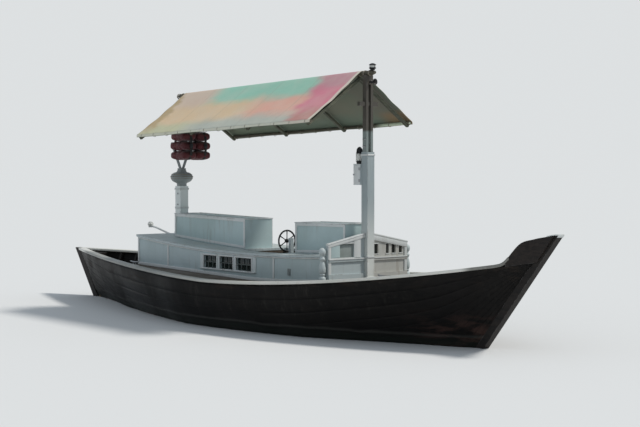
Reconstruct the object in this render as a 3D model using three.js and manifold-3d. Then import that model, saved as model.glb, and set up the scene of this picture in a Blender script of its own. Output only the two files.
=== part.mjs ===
// A wooden water taxi of the abra type: a double-ended open hull, a long back-to-back bench on a
// low trunk, a steering pit amidships and a cloth canopy on two centreline posts.
// Millimetres. +X is forward, +Y is port, +Z is up. The origin lies on the centreline, at the
// waterline, halfway along the waterline length.
import * as THREE from "three";
import { mergeVertices } from "three/addons/utils/BufferGeometryUtils.js";
import Module from "manifold-3d";

const wasm = await Module();
wasm.setup();

// Driving dimensions
const GAP = 0.3;
const STATION_STEP = 250;

const BEAM = 2800;
const WIDEST_X = 200;
const STEM_WATER_X = 4355;
const STERN_WATER_X = -4355;
const STEM_RAKE = 0.84;
const STERN_RAKE = 0.75;
const STEM_HEAD = { x: 5478, z: 1336 };
const STERN_HEAD = { x: -4922, z: 757 };
const POST_MOULD = 70;
const PLANK = 34;
const KEEL_BOTTOM = -560;
const KEEL_WIDTH = 90;

const RAIL_LOW = { x: 600, z: 640 };
const RAIL_RISE_FORE = 505;
const RAIL_RISE_AFT = 112;
const RAIL_CAP = 35;
const RAIL_CAP_WIDTH = 120;
const RAIL_OVERHANG = 22;
const RAIL_FORE_X = 4860;
const RAIL_AFT_X = -4760;
const DECK_DROP = 50;
const DECK_THICK = 30;

const TRUNK = { aft: -2030, fore: 2262, half: 650, wall: 30 };
const SEAT_LOW = { x: 600, z: 950 };
const SEAT_RISE_AFT = 140;
const SEAT_RISE_FORE = 45;
const SEAT_THICK = 30;
const SEAT_OVERHANG = 22;
const PIT = { aft: 100, fore: 1060, half: 390, floor: 330, wall: 22 };

const POST = 114;
const POST_NOTCH_X = 2240;
const FORE_POST_X = POST_NOTCH_X + GAP + POST / 2;
const AFT_POST_X = -1870;
const CANOPY = { fore: 2193, aft: -1742, half: 846, ridgeFore: 3239, ridgeAft: 3111, drop: 610 };
const CLOTH = 8;
const POLE = 32;

const SHAFT_Z = -320;
const SHAFT_RADIUS = 18;
const TUBE_RADIUS = 36;
const PROP_X = -3920;
const PROP_RADIUS = 165;
const STOCK_X = -4170;
const STOCK_RADIUS = 22;
const WHEEL = { x: 650, z: 1085, radius: 150 };

// Finishes: colour, roughness, metalness
const finish = (color, roughness, metalness = 0) => ({ color, roughness, metalness });
const DARK_WOOD = finish("#2b211b", 0.72);
const WHITE_PAINT = finish("#d9dde0", 0.55);
const GREY_PAINT = finish("#a9b0b5", 0.6);
const RAIL_PAINT = finish("#e6e4dc", 0.5);
const DECK_WOOD = finish("#6d5a46", 0.8);
const POLE_WOOD = finish("#7c6a55", 0.75);
const CANVAS = finish("#d8bfa6", 0.9);
const IRON = finish("#3a3c3e", 0.55, 0.9);
const BRONZE = finish("#9a7440", 0.4, 0.9);
const BLACK = finish("#1d1f21", 0.5);
const JACKET_RED = finish("#6b2320", 0.85);
const LAMP_WHITE = finish("#dfe3e4", 0.3);

const boat = new THREE.Group();

// Solids and meshes
function solidOf(geometry, matrix = new THREE.Matrix4()) {
  const bare = geometry.clone().applyMatrix4(matrix);
  bare.deleteAttribute("normal");
  bare.deleteAttribute("uv");
  const merged = mergeVertices(bare, 1e-3);
  return new wasm.Manifold(
    new wasm.Mesh({
      numProp: 3,
      vertProperties: new Float32Array(merged.attributes.position.array),
      triVerts: new Uint32Array(merged.index.array),
    }),
  );
}

function geometryOf(solid) {
  const mesh = solid.getMesh();
  const geometry = new THREE.BufferGeometry();
  geometry.setAttribute("position", new THREE.BufferAttribute(mesh.vertProperties, 3));
  geometry.setIndex(new THREE.BufferAttribute(mesh.triVerts, 1));
  const flat = geometry.toNonIndexed();
  flat.computeVertexNormals();
  return flat;
}

function place(name, solid, look) {
  const mesh = new THREE.Mesh(geometryOf(solid), new THREE.MeshStandardMaterial(look));
  mesh.name = name;
  boat.add(mesh);
  return solid;
}

const join = (solids) => solids.reduce((sum, each) => sum.add(each));
const mirrorSides = (make) => [["starboard", -1], ["port", 1]].forEach(([side, sign]) => make(side, sign));

function moved(geometry, x, y, z, turnX = 0, turnY = 0, turnZ = 0) {
  const turn = new THREE.Matrix4().makeRotationFromEuler(new THREE.Euler(turnX, turnY, turnZ));
  return solidOf(geometry, turn.setPosition(x, y, z));
}

// A box given by its lowest and highest corner.
function box(low, high) {
  const size = high.map((value, axis) => value - low[axis]);
  const middle = high.map((value, axis) => (value + low[axis]) / 2);
  return moved(new THREE.BoxGeometry(...size), ...middle);
}

// A round bar between two points.
function bar(from, to, radius, endRadius = radius, sides = 20) {
  const start = new THREE.Vector3(...from);
  const along = new THREE.Vector3(...to).sub(start);
  const geometry = new THREE.CylinderGeometry(endRadius, radius, along.length(), sides);
  const turn = new THREE.Quaternion().setFromUnitVectors(new THREE.Vector3(0, 1, 0), along.clone().normalize());
  const matrix = new THREE.Matrix4().makeRotationFromQuaternion(turn);
  return solidOf(geometry, matrix.setPosition(start.addScaledVector(along, 0.5)));
}

// A square timber between two points, width measured level and depth square to it.
function timber(from, to, width, depth) {
  const start = new THREE.Vector3(...from);
  const along = new THREE.Vector3(...to).sub(start);
  const geometry = new THREE.BoxGeometry(width, depth, along.length());
  const matrix = new THREE.Matrix4().lookAt(along, new THREE.Vector3(), new THREE.Vector3(0, 0, 1));
  return solidOf(geometry, matrix.setPosition(start.addScaledVector(along, 0.5)));
}

// An outline in the X-Z plane, extruded from y = low to y = high.
function sidePlate(outline, low, high) {
  const shape = new THREE.Shape(outline.map(([x, z]) => new THREE.Vector2(x, z)));
  const geometry = new THREE.ExtrudeGeometry(shape, { depth: high - low, bevelEnabled: false });
  return moved(geometry, 0, high, 0, Math.PI / 2);
}

// An outline in the Y-Z plane, extruded from x = low to x = high, climbing by slope per step of x.
function crossPlate(outline, low, high, slope = 0) {
  const shape = new THREE.Shape(outline.map(([y, z]) => new THREE.Vector2(y, z)));
  const geometry = new THREE.ExtrudeGeometry(shape, { depth: high - low, bevelEnabled: false });
  const stand = new THREE.Matrix4().set(0, 0, 1, low, 1, 0, 0, 0, 0, 1, slope, 0, 0, 0, 0, 1);
  return solidOf(geometry, stand);
}

// A profile of radius and height, turned about a vertical axis at x, y.
function turned(profile, x, y, z, sides = 20) {
  const points = profile.map(([radius, height]) => new THREE.Vector2(radius, height));
  return moved(new THREE.LatheGeometry(points, sides), x, y, z, Math.PI / 2);
}

// A closed skin over rings of equal length, one ring a station, with a fan on each end.
// Seen from ahead, each ring runs anticlockwise, and the rings follow each other forward.
function loft(rings) {
  const count = rings[0].length;
  const points = rings.flat();
  const faces = [];
  for (let r = 0; r + 1 < rings.length; r++) {
    for (let i = 0; i < count; i++) {
      const a = r * count + i;
      const b = r * count + ((i + 1) % count);
      faces.push(a, b, a + count, b, b + count, a + count);
    }
  }
  const middle = (ring) => [0, 1, 2].map((axis) => ring.reduce((sum, p) => sum + p[axis], 0) / count);
  const last = (rings.length - 1) * count;
  points.push(middle(rings[0]), middle(rings.at(-1)));
  for (let i = 0; i < count; i++) {
    const next = (i + 1) % count;
    faces.push(points.length - 2, next, i);
    faces.push(points.length - 1, last + i, last + next);
  }
  const geometry = new THREE.BufferGeometry();
  geometry.setAttribute("position", new THREE.Float32BufferAttribute(points.flat(), 3));
  geometry.setIndex(faces);
  return solidOf(geometry);
}

// Lines of the hull. Each line is straight between stations, so pieces laid on it meet it evenly.
function stationsBetween(from, to) {
  const inner = [];
  for (let x = Math.ceil(from / STATION_STEP) * STATION_STEP; x < to; x += STATION_STEP) {
    if (x > from) inner.push(x);
  }
  return [from, ...inner, to];
}

function straightened(curve) {
  return (x) => {
    const low = Math.floor(x / STATION_STEP) * STATION_STEP;
    const share = (x - low) / STATION_STEP;
    return curve(low) * (1 - share) + curve(low + STATION_STEP) * share;
  };
}

const RAIL_FULLNESS_FORE = 2.2;
const RAIL_FULLNESS_AFT = 1.45;
const RAIL_STEM_X = 5230;
const RAIL_STERN_X = -4900;

const halfBreadth = straightened((x) => {
  const ahead = x > WIDEST_X;
  const reach = ahead ? RAIL_STEM_X - WIDEST_X : WIDEST_X - RAIL_STERN_X;
  const share = Math.min(Math.abs(x - WIDEST_X) / reach, 1);
  const power = ahead ? RAIL_FULLNESS_FORE : RAIL_FULLNESS_AFT;
  return Math.max((BEAM / 2) * (1 - share ** power), 20);
});

const railTop = straightened((x) => {
  const ahead = x > RAIL_LOW.x;
  const share = Math.abs(x - RAIL_LOW.x) / 5000;
  return RAIL_LOW.z + (ahead ? RAIL_RISE_FORE * share ** 1.92 : RAIL_RISE_AFT * share ** 0.85);
});

const deckTop = (x) => railTop(x) - DECK_DROP;

const seatTop = straightened((x) => {
  const ahead = x > SEAT_LOW.x;
  const reach = ahead ? TRUNK.fore - SEAT_LOW.x : SEAT_LOW.x - TRUNK.aft;
  const rise = ahead ? SEAT_RISE_FORE : SEAT_RISE_AFT;
  return SEAT_LOW.z + rise * (Math.abs(x - SEAT_LOW.x) / reach) ** 2;
});

// Where the planking meets the centreline, from the stern post round the bottom to the stem.
const CENTRELINE = [
  { x: STERN_WATER_X + POST_MOULD - STERN_RAKE * 660, z: 660 },
  { x: STERN_WATER_X + POST_MOULD, z: 0 },
  { x: -4000, z: -110 },
  { x: -3500, z: -205 },
  { x: -2800, z: -280 },
  { x: -1500, z: -335 },
  { x: 500, z: -350 },
  { x: 2500, z: -345 },
  { x: 3500, z: -315 },
  { x: 3900, z: -260 },
  { x: 4120, z: -160 },
  { x: STEM_WATER_X - POST_MOULD, z: 0 },
  { x: STEM_WATER_X - POST_MOULD + STEM_RAKE * 990, z: 990 },
];

function centrelineZ(x) {
  const found = CENTRELINE.slice(1, -1).findIndex((point) => point.x >= x);
  const next = found < 0 ? CENTRELINE.length - 1 : found + 1;
  const [a, b] = [CENTRELINE[next - 1], CENTRELINE[next]];
  return a.z + ((b.z - a.z) * (x - a.x)) / (b.x - a.x);
}

// Section shapes: the two handles of a cubic from keel to rail, as shares of breadth and depth.
const SECTIONS = [
  { x: -4900, lowOut: 0.3, lowUp: 0.3, highOut: 0.65, highUp: 0.68 },
  { x: -4000, lowOut: 0.24, lowUp: 0.12, highOut: 0.62, highUp: 0.5 },
  { x: -2500, lowOut: 0.42, lowUp: 0.04, highOut: 0.88, highUp: 0.32 },
  { x: 0, lowOut: 0.56, lowUp: 0.02, highOut: 1.0, highUp: 0.22 },
  { x: 2200, lowOut: 0.46, lowUp: 0.04, highOut: 0.94, highUp: 0.26 },
  { x: 3700, lowOut: 0.24, lowUp: 0.12, highOut: 0.6, highUp: 0.48 },
  { x: 5230, lowOut: 0.28, lowUp: 0.3, highOut: 0.6, highUp: 0.66 },
];

function sectionAt(x) {
  const next = Math.max(SECTIONS.findIndex((section) => section.x >= x), 1);
  const [a, b] = [SECTIONS[next - 1], SECTIONS[next]];
  const share = (x - a.x) / (b.x - a.x);
  const mix = (key) => a[key] + (b[key] - a[key]) * share;
  return { lowOut: mix("lowOut"), lowUp: mix("lowUp"), highOut: mix("highOut"), highUp: mix("highUp") };
}

// The ring of a hull section: up the port side, across the top, and down the starboard side.
// grow moves the skin outward, and top gives the height of the ring's top edge.
const SIDE_STEPS = 9;
function hullRing(x, grow, top) {
  const half = halfBreadth(x) + grow;
  const low = centrelineZ(x) - grow * 1.2;
  const high = railTop(x) - RAIL_CAP;
  const shape = sectionAt(x);
  const side = new THREE.CubicBezierCurve(
    new THREE.Vector2(0, low),
    new THREE.Vector2(shape.lowOut * half, low + shape.lowUp * (high - low)),
    new THREE.Vector2(shape.highOut * half, low + shape.highUp * (high - low)),
    new THREE.Vector2(half, high),
  ).getPoints(SIDE_STEPS);
  if (top > high) side.push(new THREE.Vector2(half, top));
  const port = side.map((point) => [x, point.x, point.y]);
  const starboard = side.slice(1).reverse().map((point) => [x, -point.x, point.y]);
  return [...port, ...starboard];
}

function hullSolid(grow, aft, fore, lift = 0) {
  const extra = CENTRELINE.map((point) => point.x);
  const stations = [...new Set([...stationsBetween(aft, fore), ...extra])]
    .filter((x) => x >= aft && x <= fore)
    .sort((a, b) => a - b);
  return loft(stations.map((x) => hullRing(x, grow, railTop(x) - RAIL_CAP + lift)));
}

const HULL_AFT = CENTRELINE[0].x;
const HULL_FORE = CENTRELINE.at(-1).x;
const INNER_AFT = -4560;
const INNER_FORE = 4880;
const outerHull = hullSolid(0, HULL_AFT, HULL_FORE);
const hullCutter = hullSolid(GAP * 1.5, HULL_AFT - 1, HULL_FORE + 1);
const innerHull = hullSolid(-PLANK, INNER_AFT, INNER_FORE, 200);
const innerFit = hullSolid(-PLANK - GAP * 1.5, INNER_AFT + 1, INNER_FORE - 1, 200);

// A plate that follows two level lines and a breadth line, from the centreline half a to half b.
function curvedPlate(aft, fore, bottomAt, topAt, lowY, highY) {
  const value = (limit, x) => (typeof limit === "function" ? limit(x) : limit);
  return loft(
    stationsBetween(aft, fore).map((x) => [
      [x, value(lowY, x), bottomAt(x)],
      [x, value(highY, x), bottomAt(x)],
      [x, value(highY, x), topAt(x)],
      [x, value(lowY, x), topAt(x)],
    ]),
  );
}

const deckCutter = curvedPlate(-2300, 4800, () => 300, (x) => deckTop(x) + GAP, -1500, 1500);
const seatCutter = curvedPlate(-2300, 2400, () => 300, (x) => seatTop(x) + GAP, -1000, 1000);

// Hull, keel, posts
function makeHull() {
  const tubeBore = bar([-3400, 0, SHAFT_Z], [-4100, 0, SHAFT_Z], TUBE_RADIUS);
  const stockBore = bar([STOCK_X, 0, -300], [STOCK_X, 0, 500], TUBE_RADIUS);
  place("hull_planking", outerHull.subtract(innerHull).subtract(tubeBore).subtract(stockBore), DARK_WOOD);

  const keelFore = 3700;
  const deadwoodAft = -3740;
  const shoeAft = STOCK_X - 90;
  const keel = sidePlate(
    [
      [shoeAft, KEEL_BOTTOM],
      [keelFore - 200, KEEL_BOTTOM],
      [keelFore, -470],
      [keelFore, -200],
      [deadwoodAft, -60],
      [deadwoodAft, KEEL_BOTTOM + 42],
      [shoeAft, KEEL_BOTTOM + 42],
    ],
    -KEEL_WIDTH / 2,
    KEEL_WIDTH / 2,
  );
  const heelSocket = bar([STOCK_X, 0, KEEL_BOTTOM + 20], [STOCK_X, 0, KEEL_BOTTOM + 60], STOCK_RADIUS * 0.7 + 1);
  place("keel", keel.subtract(hullCutter).subtract(tubeBore).subtract(heelSocket), DARK_WOOD);

  const stemAt = (z, back) => [STEM_WATER_X + STEM_RAKE * z - back, z];
  const stem = sidePlate(
    [
      [STEM_HEAD.x - 62, STEM_HEAD.z],
      stemAt(1180, 150),
      stemAt(0, 150),
      [keelFore + GAP, -190],
      [keelFore + GAP, -470],
      [3860, -420],
      [4010, -340],
      stemAt(-170, -14),
      stemAt(0, 0),
      [STEM_HEAD.x, STEM_HEAD.z],
    ],
    -KEEL_WIDTH / 2,
    KEEL_WIDTH / 2,
  );
  place("stem_post", stem.subtract(hullCutter), DARK_WOOD);

  const sternAt = (z, back) => [STERN_WATER_X - STERN_RAKE * z + back, z];
  const stern = sidePlate(
    [
      sternAt(-50, 0),
      sternAt(-50, 130),
      sternAt(680, 150),
      [STERN_HEAD.x + 70, STERN_HEAD.z],
      [STERN_HEAD.x, STERN_HEAD.z],
    ],
    -KEEL_WIDTH / 2,
    KEEL_WIDTH / 2,
  );
  place("stern_post", stern.subtract(hullCutter).subtract(stockBore), DARK_WOOD);
}

// Bow head, rail caps, decks and the stern well
// The raised bow head sweeps up from the rails to the stem: the height of its top edge.
const BOW_EDGE = [
  { x: RAIL_FORE_X, top: 1030 },
  { x: 4930, top: 1140 },
  { x: 5000, top: 1235 },
  { x: 5060, top: 1265 },
  { x: 5200, top: 1298 },
  { x: 5400, top: 1330 },
];
const CHEEK = 17;
const BOW_FLARE = 14;

function makeRailsAndDecks() {
  const headHalf = (x) => Math.max(halfBreadth(x), KEEL_WIDTH / 2 + CHEEK);
  const bowHead = loft(
    BOW_EDGE.map(({ x, top }) => [
      [x, -headHalf(x), railTop(x) - RAIL_CAP + GAP],
      [x, headHalf(x), railTop(x) - RAIL_CAP + GAP],
      [x, headHalf(x) + BOW_FLARE, top],
      [x, -headHalf(x) - BOW_FLARE, top],
    ]),
  );
  const stemLine = (z) => STEM_WATER_X + STEM_RAKE * z - 45;
  const aheadOfStem = sidePlate(
    [
      [stemLine(800), 800],
      [5800, 800],
      [5800, 1500],
      [stemLine(1500), 1500],
    ],
    -300,
    300,
  );
  const stemSlot = sidePlate(
    [
      [4700, 400],
      [5000, 400],
      [5700, 1500],
      [5231, 1500],
      [STEM_WATER_X + STEM_RAKE * 1180 - 152, 1180],
      [STEM_WATER_X + STEM_RAKE * 700 - 152, 700],
    ],
    -KEEL_WIDTH / 2 - GAP,
    KEEL_WIDTH / 2 + GAP,
  );
  place("bow_head", bowHead.subtract(stemSlot).subtract(aheadOfStem), DARK_WOOD);

  mirrorSides((side, sign) => {
    const outer = (x) => sign * (halfBreadth(x) + RAIL_OVERHANG);
    const inner = (x) => sign * Math.max(halfBreadth(x) + RAIL_OVERHANG - RAIL_CAP_WIDTH, GAP);
    const [low, high] = sign > 0 ? [inner, outer] : [outer, inner];
    const bottom = (x) => railTop(x) - RAIL_CAP + GAP;
    const cap = curvedPlate(RAIL_AFT_X, RAIL_FORE_X - GAP, bottom, railTop, low, high);
    const sternSlot = box([-5000, -KEEL_WIDTH / 2 - GAP, 600], [-4730, KEEL_WIDTH / 2 + GAP, 900]);
    place(`rail_cap_${side}`, cap.subtract(sternSlot), RAIL_PAINT);
  });

  const hold = box([TRUNK.aft + 40, -TRUNK.half + 40, -500], [TRUNK.fore - 10, TRUNK.half - 40, 1500]);
  const deck = curvedPlate(TRUNK.aft - 30, 4860, (x) => deckTop(x) - DECK_THICK, deckTop, -1500, 1500);
  place("main_deck", deck.intersect(innerFit).subtract(hold), DECK_WOOD);
  const breasthook = curvedPlate(-4540, -4250, (x) => deckTop(x) - 60, deckTop, -600, 600);
  place("stern_breasthook", breasthook.intersect(innerFit), DARK_WOOD);
  const wellFloor = box([-4200, -1300, 300], [TRUNK.aft - 30 - GAP, 1300, 326]);
  const stockHole = bar([STOCK_X, 0, 200], [STOCK_X, 0, 400], 42);
  place("stern_well_floor", wellFloor.intersect(innerFit).subtract(stockHole), DECK_WOOD);
  const underDeck = deckTop(TRUNK.aft - 4) - DECK_THICK - GAP;
  const bulkhead = box([TRUNK.aft - 30, -1300, -400], [TRUNK.aft - 4, 1300, underDeck]);
  place("well_bulkhead", bulkhead.intersect(innerFit), DECK_WOOD);
}

// Trunk: two side walls with three windows each, end walls, bench top, backrests
const WINDOWS = [
  { aft: -340, fore: -40 },
  { aft: 35, fore: 335 },
  { aft: 410, fore: 750 },
];
const WINDOW_LOW = 708;
const WINDOW_HIGH = 876;
const BACKRESTS = [
  { name: "backrest_aft", aft: -1700, fore: 20, topAft: 1391, topFore: 1358, half: 230 },
  { name: "backrest_fore", aft: 1120, fore: 2130, topAft: 1345, topFore: 1356, half: 225 },
];
// The fore post is let into the bench's end and stands between the two end boards.
const postNotch = box([POST_NOTCH_X, -POST / 2 - GAP, 500], [2600, POST / 2 + GAP, 1400]);

function makeTrunk() {
  const wallTop = (x) => seatTop(x) - SEAT_THICK - GAP;
  const wallFoot = (x) => deckTop(x) + GAP;
  mirrorSides((side, sign) => {
    const [low, high] = sign > 0 ? [TRUNK.half - TRUNK.wall, TRUNK.half] : [-TRUNK.half, -TRUNK.half + TRUNK.wall];
    let wall = curvedPlate(TRUNK.aft, TRUNK.fore, wallFoot, wallTop, low, high);
    let panel = box([-430, sign > 0 ? TRUNK.half + GAP : -TRUNK.half - 14, 690], [840, sign > 0 ? TRUNK.half + 14 : -TRUNK.half - GAP, 900]);
    for (const { aft, fore } of WINDOWS) {
      const middle = sign * TRUNK.half;
      wall = wall.subtract(box([aft, middle - 60, WINDOW_LOW], [fore, middle + 60, WINDOW_HIGH]));
      panel = panel.subtract(box([aft, middle - 60, WINDOW_LOW], [fore, middle + 60, WINDOW_HIGH]));
    }
    const bars = WINDOWS.flatMap(({ aft, fore }) => {
      const y = sign * (TRUNK.half + 7);
      const upright = (share) => {
        const x = aft + (fore - aft) * share;
        return box([x - 6, y - 4, WINDOW_LOW - 5], [x + 6, y + 4, WINDOW_HIGH + 5]);
      };
      const level = (WINDOW_LOW + WINDOW_HIGH) / 2;
      return [upright(1 / 3), upright(2 / 3), box([aft - 5, y - 4, level - 6], [fore + 5, y + 4, level + 6])];
    });
    place(`trunk_side_${side}`, wall, WHITE_PAINT);
    place(`window_panel_${side}`, join([panel, ...bars]), WHITE_PAINT);
  });

  const aftWall = box(
    [TRUNK.aft, -TRUNK.half + TRUNK.wall + GAP, deckTop(TRUNK.aft) + GAP],
    [TRUNK.aft + 28, TRUNK.half - TRUNK.wall - GAP, wallTop(TRUNK.aft + 28)],
  );
  place("trunk_end_aft", aftWall, WHITE_PAINT);

  const seat = curvedPlate(
    TRUNK.aft - 20,
    TRUNK.fore - GAP,
    (x) => seatTop(x) - SEAT_THICK,
    seatTop,
    -TRUNK.half - SEAT_OVERHANG,
    TRUNK.half + SEAT_OVERHANG,
  );
  const pitHole = box([PIT.aft, -PIT.half, 600], [PIT.fore, PIT.half, 1300]);
  place("bench_top", seat.subtract(pitHole).subtract(postNotch), WHITE_PAINT);

  const rim = PIT.wall;
  const pitTop = wallTop(SEAT_LOW.x);
  const pitOuter = box([PIT.aft - rim, -PIT.half - rim, PIT.floor - rim], [PIT.fore + rim, PIT.half + rim, pitTop]);
  const pitInner = box([PIT.aft, -PIT.half, PIT.floor], [PIT.fore, PIT.half, pitTop + 50]);
  place("pit_box", pitOuter.subtract(pitInner), DECK_WOOD);

  for (const { name, aft, fore, topAft, topFore, half } of BACKRESTS) {
    const outline = (inset) => [
      [aft + inset, 850],
      [fore - inset, 850],
      [fore - inset, topFore - inset],
      [aft + inset, topAft - inset],
    ];
    const outer = sidePlate(outline(0), -half, half);
    const inner = sidePlate(outline(24), -half + 24, half - 24);
    place(name, outer.subtract(inner).subtract(seatCutter), WHITE_PAINT);
  }
}

// Fore end boards: the two halves of a low gable, the port half with an upper row of recessed slots
const END_SLOTS = [
  { from: 95, to: 170 },
  { from: 300, to: 350 },
  { from: 395, to: 465 },
  { from: 520, to: 575 },
];
const END_SLOT_DEEP = 28;
// To starboard the board has one shallow recess in place of the slots.
const END_RECESS = { from: -460, to: -235, low: 955, high: 1125, deep: 20 };
const END_CORNER_Z = 1120;
const END_PEAK_Z = 1250;
const END_BOARD = 40;

function makeEndBoard() {
  const foot = 620;
  const outline = [
    [-TRUNK.half, foot],
    [TRUNK.half, foot],
    [TRUNK.half, END_CORNER_Z],
    [0, END_PEAK_Z],
    [-TRUNK.half, END_CORNER_Z],
  ];
  const face = TRUNK.fore + END_BOARD;
  let board = crossPlate(outline, TRUNK.fore + GAP, face);
  for (const { from, to } of END_SLOTS) {
    board = board.subtract(box([face - END_SLOT_DEEP, from, 985], [face + 20, to, 1108]));
  }
  const { from, to, low: recessLow, high: recessHigh, deep } = END_RECESS;
  board = board.subtract(box([face - deep, from, recessLow], [face + 20, to, recessHigh]));
  const ledges = [[905, 940], [foot, 750]].map(([low, high]) =>
    box([face - 2, -TRUNK.half, low], [face + 18, TRUNK.half, high]),
  );
  const trimmed = join([board, ...ledges]).subtract(postNotch).subtract(deckCutter);
  mirrorSides((side, sign) => {
    const [low, high] = sign > 0 ? [0, TRUNK.half + 1] : [-TRUNK.half - 1, 0];
    place(`end_board_${side}`, trimmed.intersect(box([2200, low, 500], [2400, high, 1400])), WHITE_PAINT);
  });

  const NEWEL = [
    [0, 0], [42, 0], [42, 70], [30, 84], [30, 100], [40, 125], [44, 170], [34, 235], [27, 270],
    [38, 290], [38, 306], [26, 322], [26, 334], [40, 352], [46, 385], [38, 416], [16, 432], [0, 436],
  ];
  mirrorSides((side, sign) => {
    const x = TRUNK.fore - 10;
    const newel = turned(NEWEL, x, sign * (TRUNK.half + 46 + GAP), deckTop(x) - 2, 12).subtract(deckCutter);
    const seatEdge = box([1000, -TRUNK.half - SEAT_OVERHANG - GAP, 900], [2400, TRUNK.half + SEAT_OVERHANG + GAP, 1400]);
    place(`newel_post_${side}`, newel.subtract(seatEdge), WHITE_PAINT);
  });
}

// Canopy: posts, ridge pole, eave rails, rafters, cloth
const canopySlope = (CANOPY.ridgeFore - CANOPY.ridgeAft) / (CANOPY.fore - CANOPY.aft);
const ridgeZ = (x) => CANOPY.ridgeFore + (x - CANOPY.fore) * canopySlope;
const RAFTERS = [2130, 870, -410, -1680];
const RAFTER_WIDTH = 44;
const RAFTER_DEPTH = 32;
const poleSeat = bar([-2500, 0, ridgeZ(-2500)], [3000, 0, ridgeZ(3000)], POLE + GAP);

function makePosts() {
  const face = FORE_POST_X - POST / 2;
  const foreTop = 2260;
  const forePost = box([face, -POST / 2, 600], [face + POST, POST / 2, foreTop]);
  place("canopy_post_fore", forePost.subtract(deckCutter), WHITE_PAINT);

  const cross = 2860;
  const barTop = (x) => ridgeZ(x) - POLE + 8;
  const uprights = [-1, 1].map((sign) =>
    box([face + 20, sign * 38 - 18, foreTop + GAP], [face + 90, sign * 38 + 18, barTop(face)]),
  );
  const crossBar = box([face + 30, -150, cross - 25], [face + 75, 150, cross + 25]);
  const head = box([face + 20, -50, barTop(face) - 115], [face + 90, 50, barTop(face)]);
  place("canopy_bars_fore", join([...uprights, crossBar, head]).subtract(poleSeat), GREY_PAINT);

  const aftTop = 1790;
  const aftPost = box([AFT_POST_X - 68, -68, 1000], [AFT_POST_X + 68, 68, aftTop]);
  place("canopy_post_aft", aftPost.subtract(seatCutter), WHITE_PAINT);
  const HEAD = [[0, 0], [70, 0], [70, 40], [140, 80], [165, 130], [140, 180], [70, 215], [60, 240], [0, 240]];
  place("post_head_aft", turned(HEAD, AFT_POST_X, 0, aftTop + GAP, 12), WHITE_PAINT);
  const fork = 2030 + 2 * GAP;
  const struts = [-1, 1].map((sign) => bar([AFT_POST_X, sign * 20, fork + 8], [AFT_POST_X, sign * 170, 2420], 20));
  const tie = bar([AFT_POST_X, -175, 2410], [AFT_POST_X, 175, 2410], 20);
  const kingRod = bar([AFT_POST_X, 0, 2410], [AFT_POST_X, 0, ridgeZ(AFT_POST_X) - POLE + 8], 24);
  const base = box([AFT_POST_X - 45, -45, fork], [AFT_POST_X + 45, 45, fork + 20]);
  place("canopy_fork_aft", join([...struts, tie, kingRod, base]).subtract(poleSeat), GREY_PAINT);
}

function makeCanopy() {
  const poleEnds = [CANOPY.aft - 190, CANOPY.fore + 240];
  const pole = bar([poleEnds[0], 0, ridgeZ(poleEnds[0])], [poleEnds[1], 0, ridgeZ(poleEnds[1])], POLE);
  place("ridge_pole", pole, POLE_WOOD);

  const eaveDrop = CANOPY.drop;
  const half = CANOPY.half;
  const eaveRadius = 20;
  let seatings = poleSeat;
  mirrorSides((side, sign) => {
    const at = (x) => [x, sign * (half - 26), ridgeZ(x) - eaveDrop + 12];
    place(`eave_rail_${side}`, bar(at(CANOPY.aft + 15), at(CANOPY.fore - 15), eaveRadius), POLE_WOOD);
    seatings = seatings.add(bar(at(-2500), at(3000), eaveRadius + GAP));
  });
  RAFTERS.forEach((x, index) => {
    const arms = [-1, 1].map((sign) =>
      timber(
        [x, -sign * 14, ridgeZ(x) - POLE - RAFTER_DEPTH / 2],
        [x, sign * (half - 20), ridgeZ(x) - eaveDrop - RAFTER_DEPTH / 2 - 12],
        RAFTER_WIDTH,
        RAFTER_DEPTH,
      ),
    );
    place(`rafter_pair_${index + 1}`, join(arms).subtract(seatings), POLE_WOOD);
  });

  const top = CANOPY.ridgeAft + POLE + GAP + CLOTH;
  const edge = CANOPY.ridgeAft - eaveDrop + 24;
  const hem = edge - 40;
  const outline = [
    [half - 3, hem],
    [half + CLOTH, hem],
    [half + CLOTH, edge + 4],
    [14, top],
    [-14, top],
    [-half - CLOTH, edge + 4],
    [-half - CLOTH, hem],
    [-half + 3, hem],
    [-half, edge - 6],
    [-12, top - CLOTH],
    [12, top - CLOTH],
    [half, edge - 6],
  ];
  place("canopy_cloth", crossPlate(outline, CANOPY.aft, CANOPY.fore, canopySlope), CANVAS);
}

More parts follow.
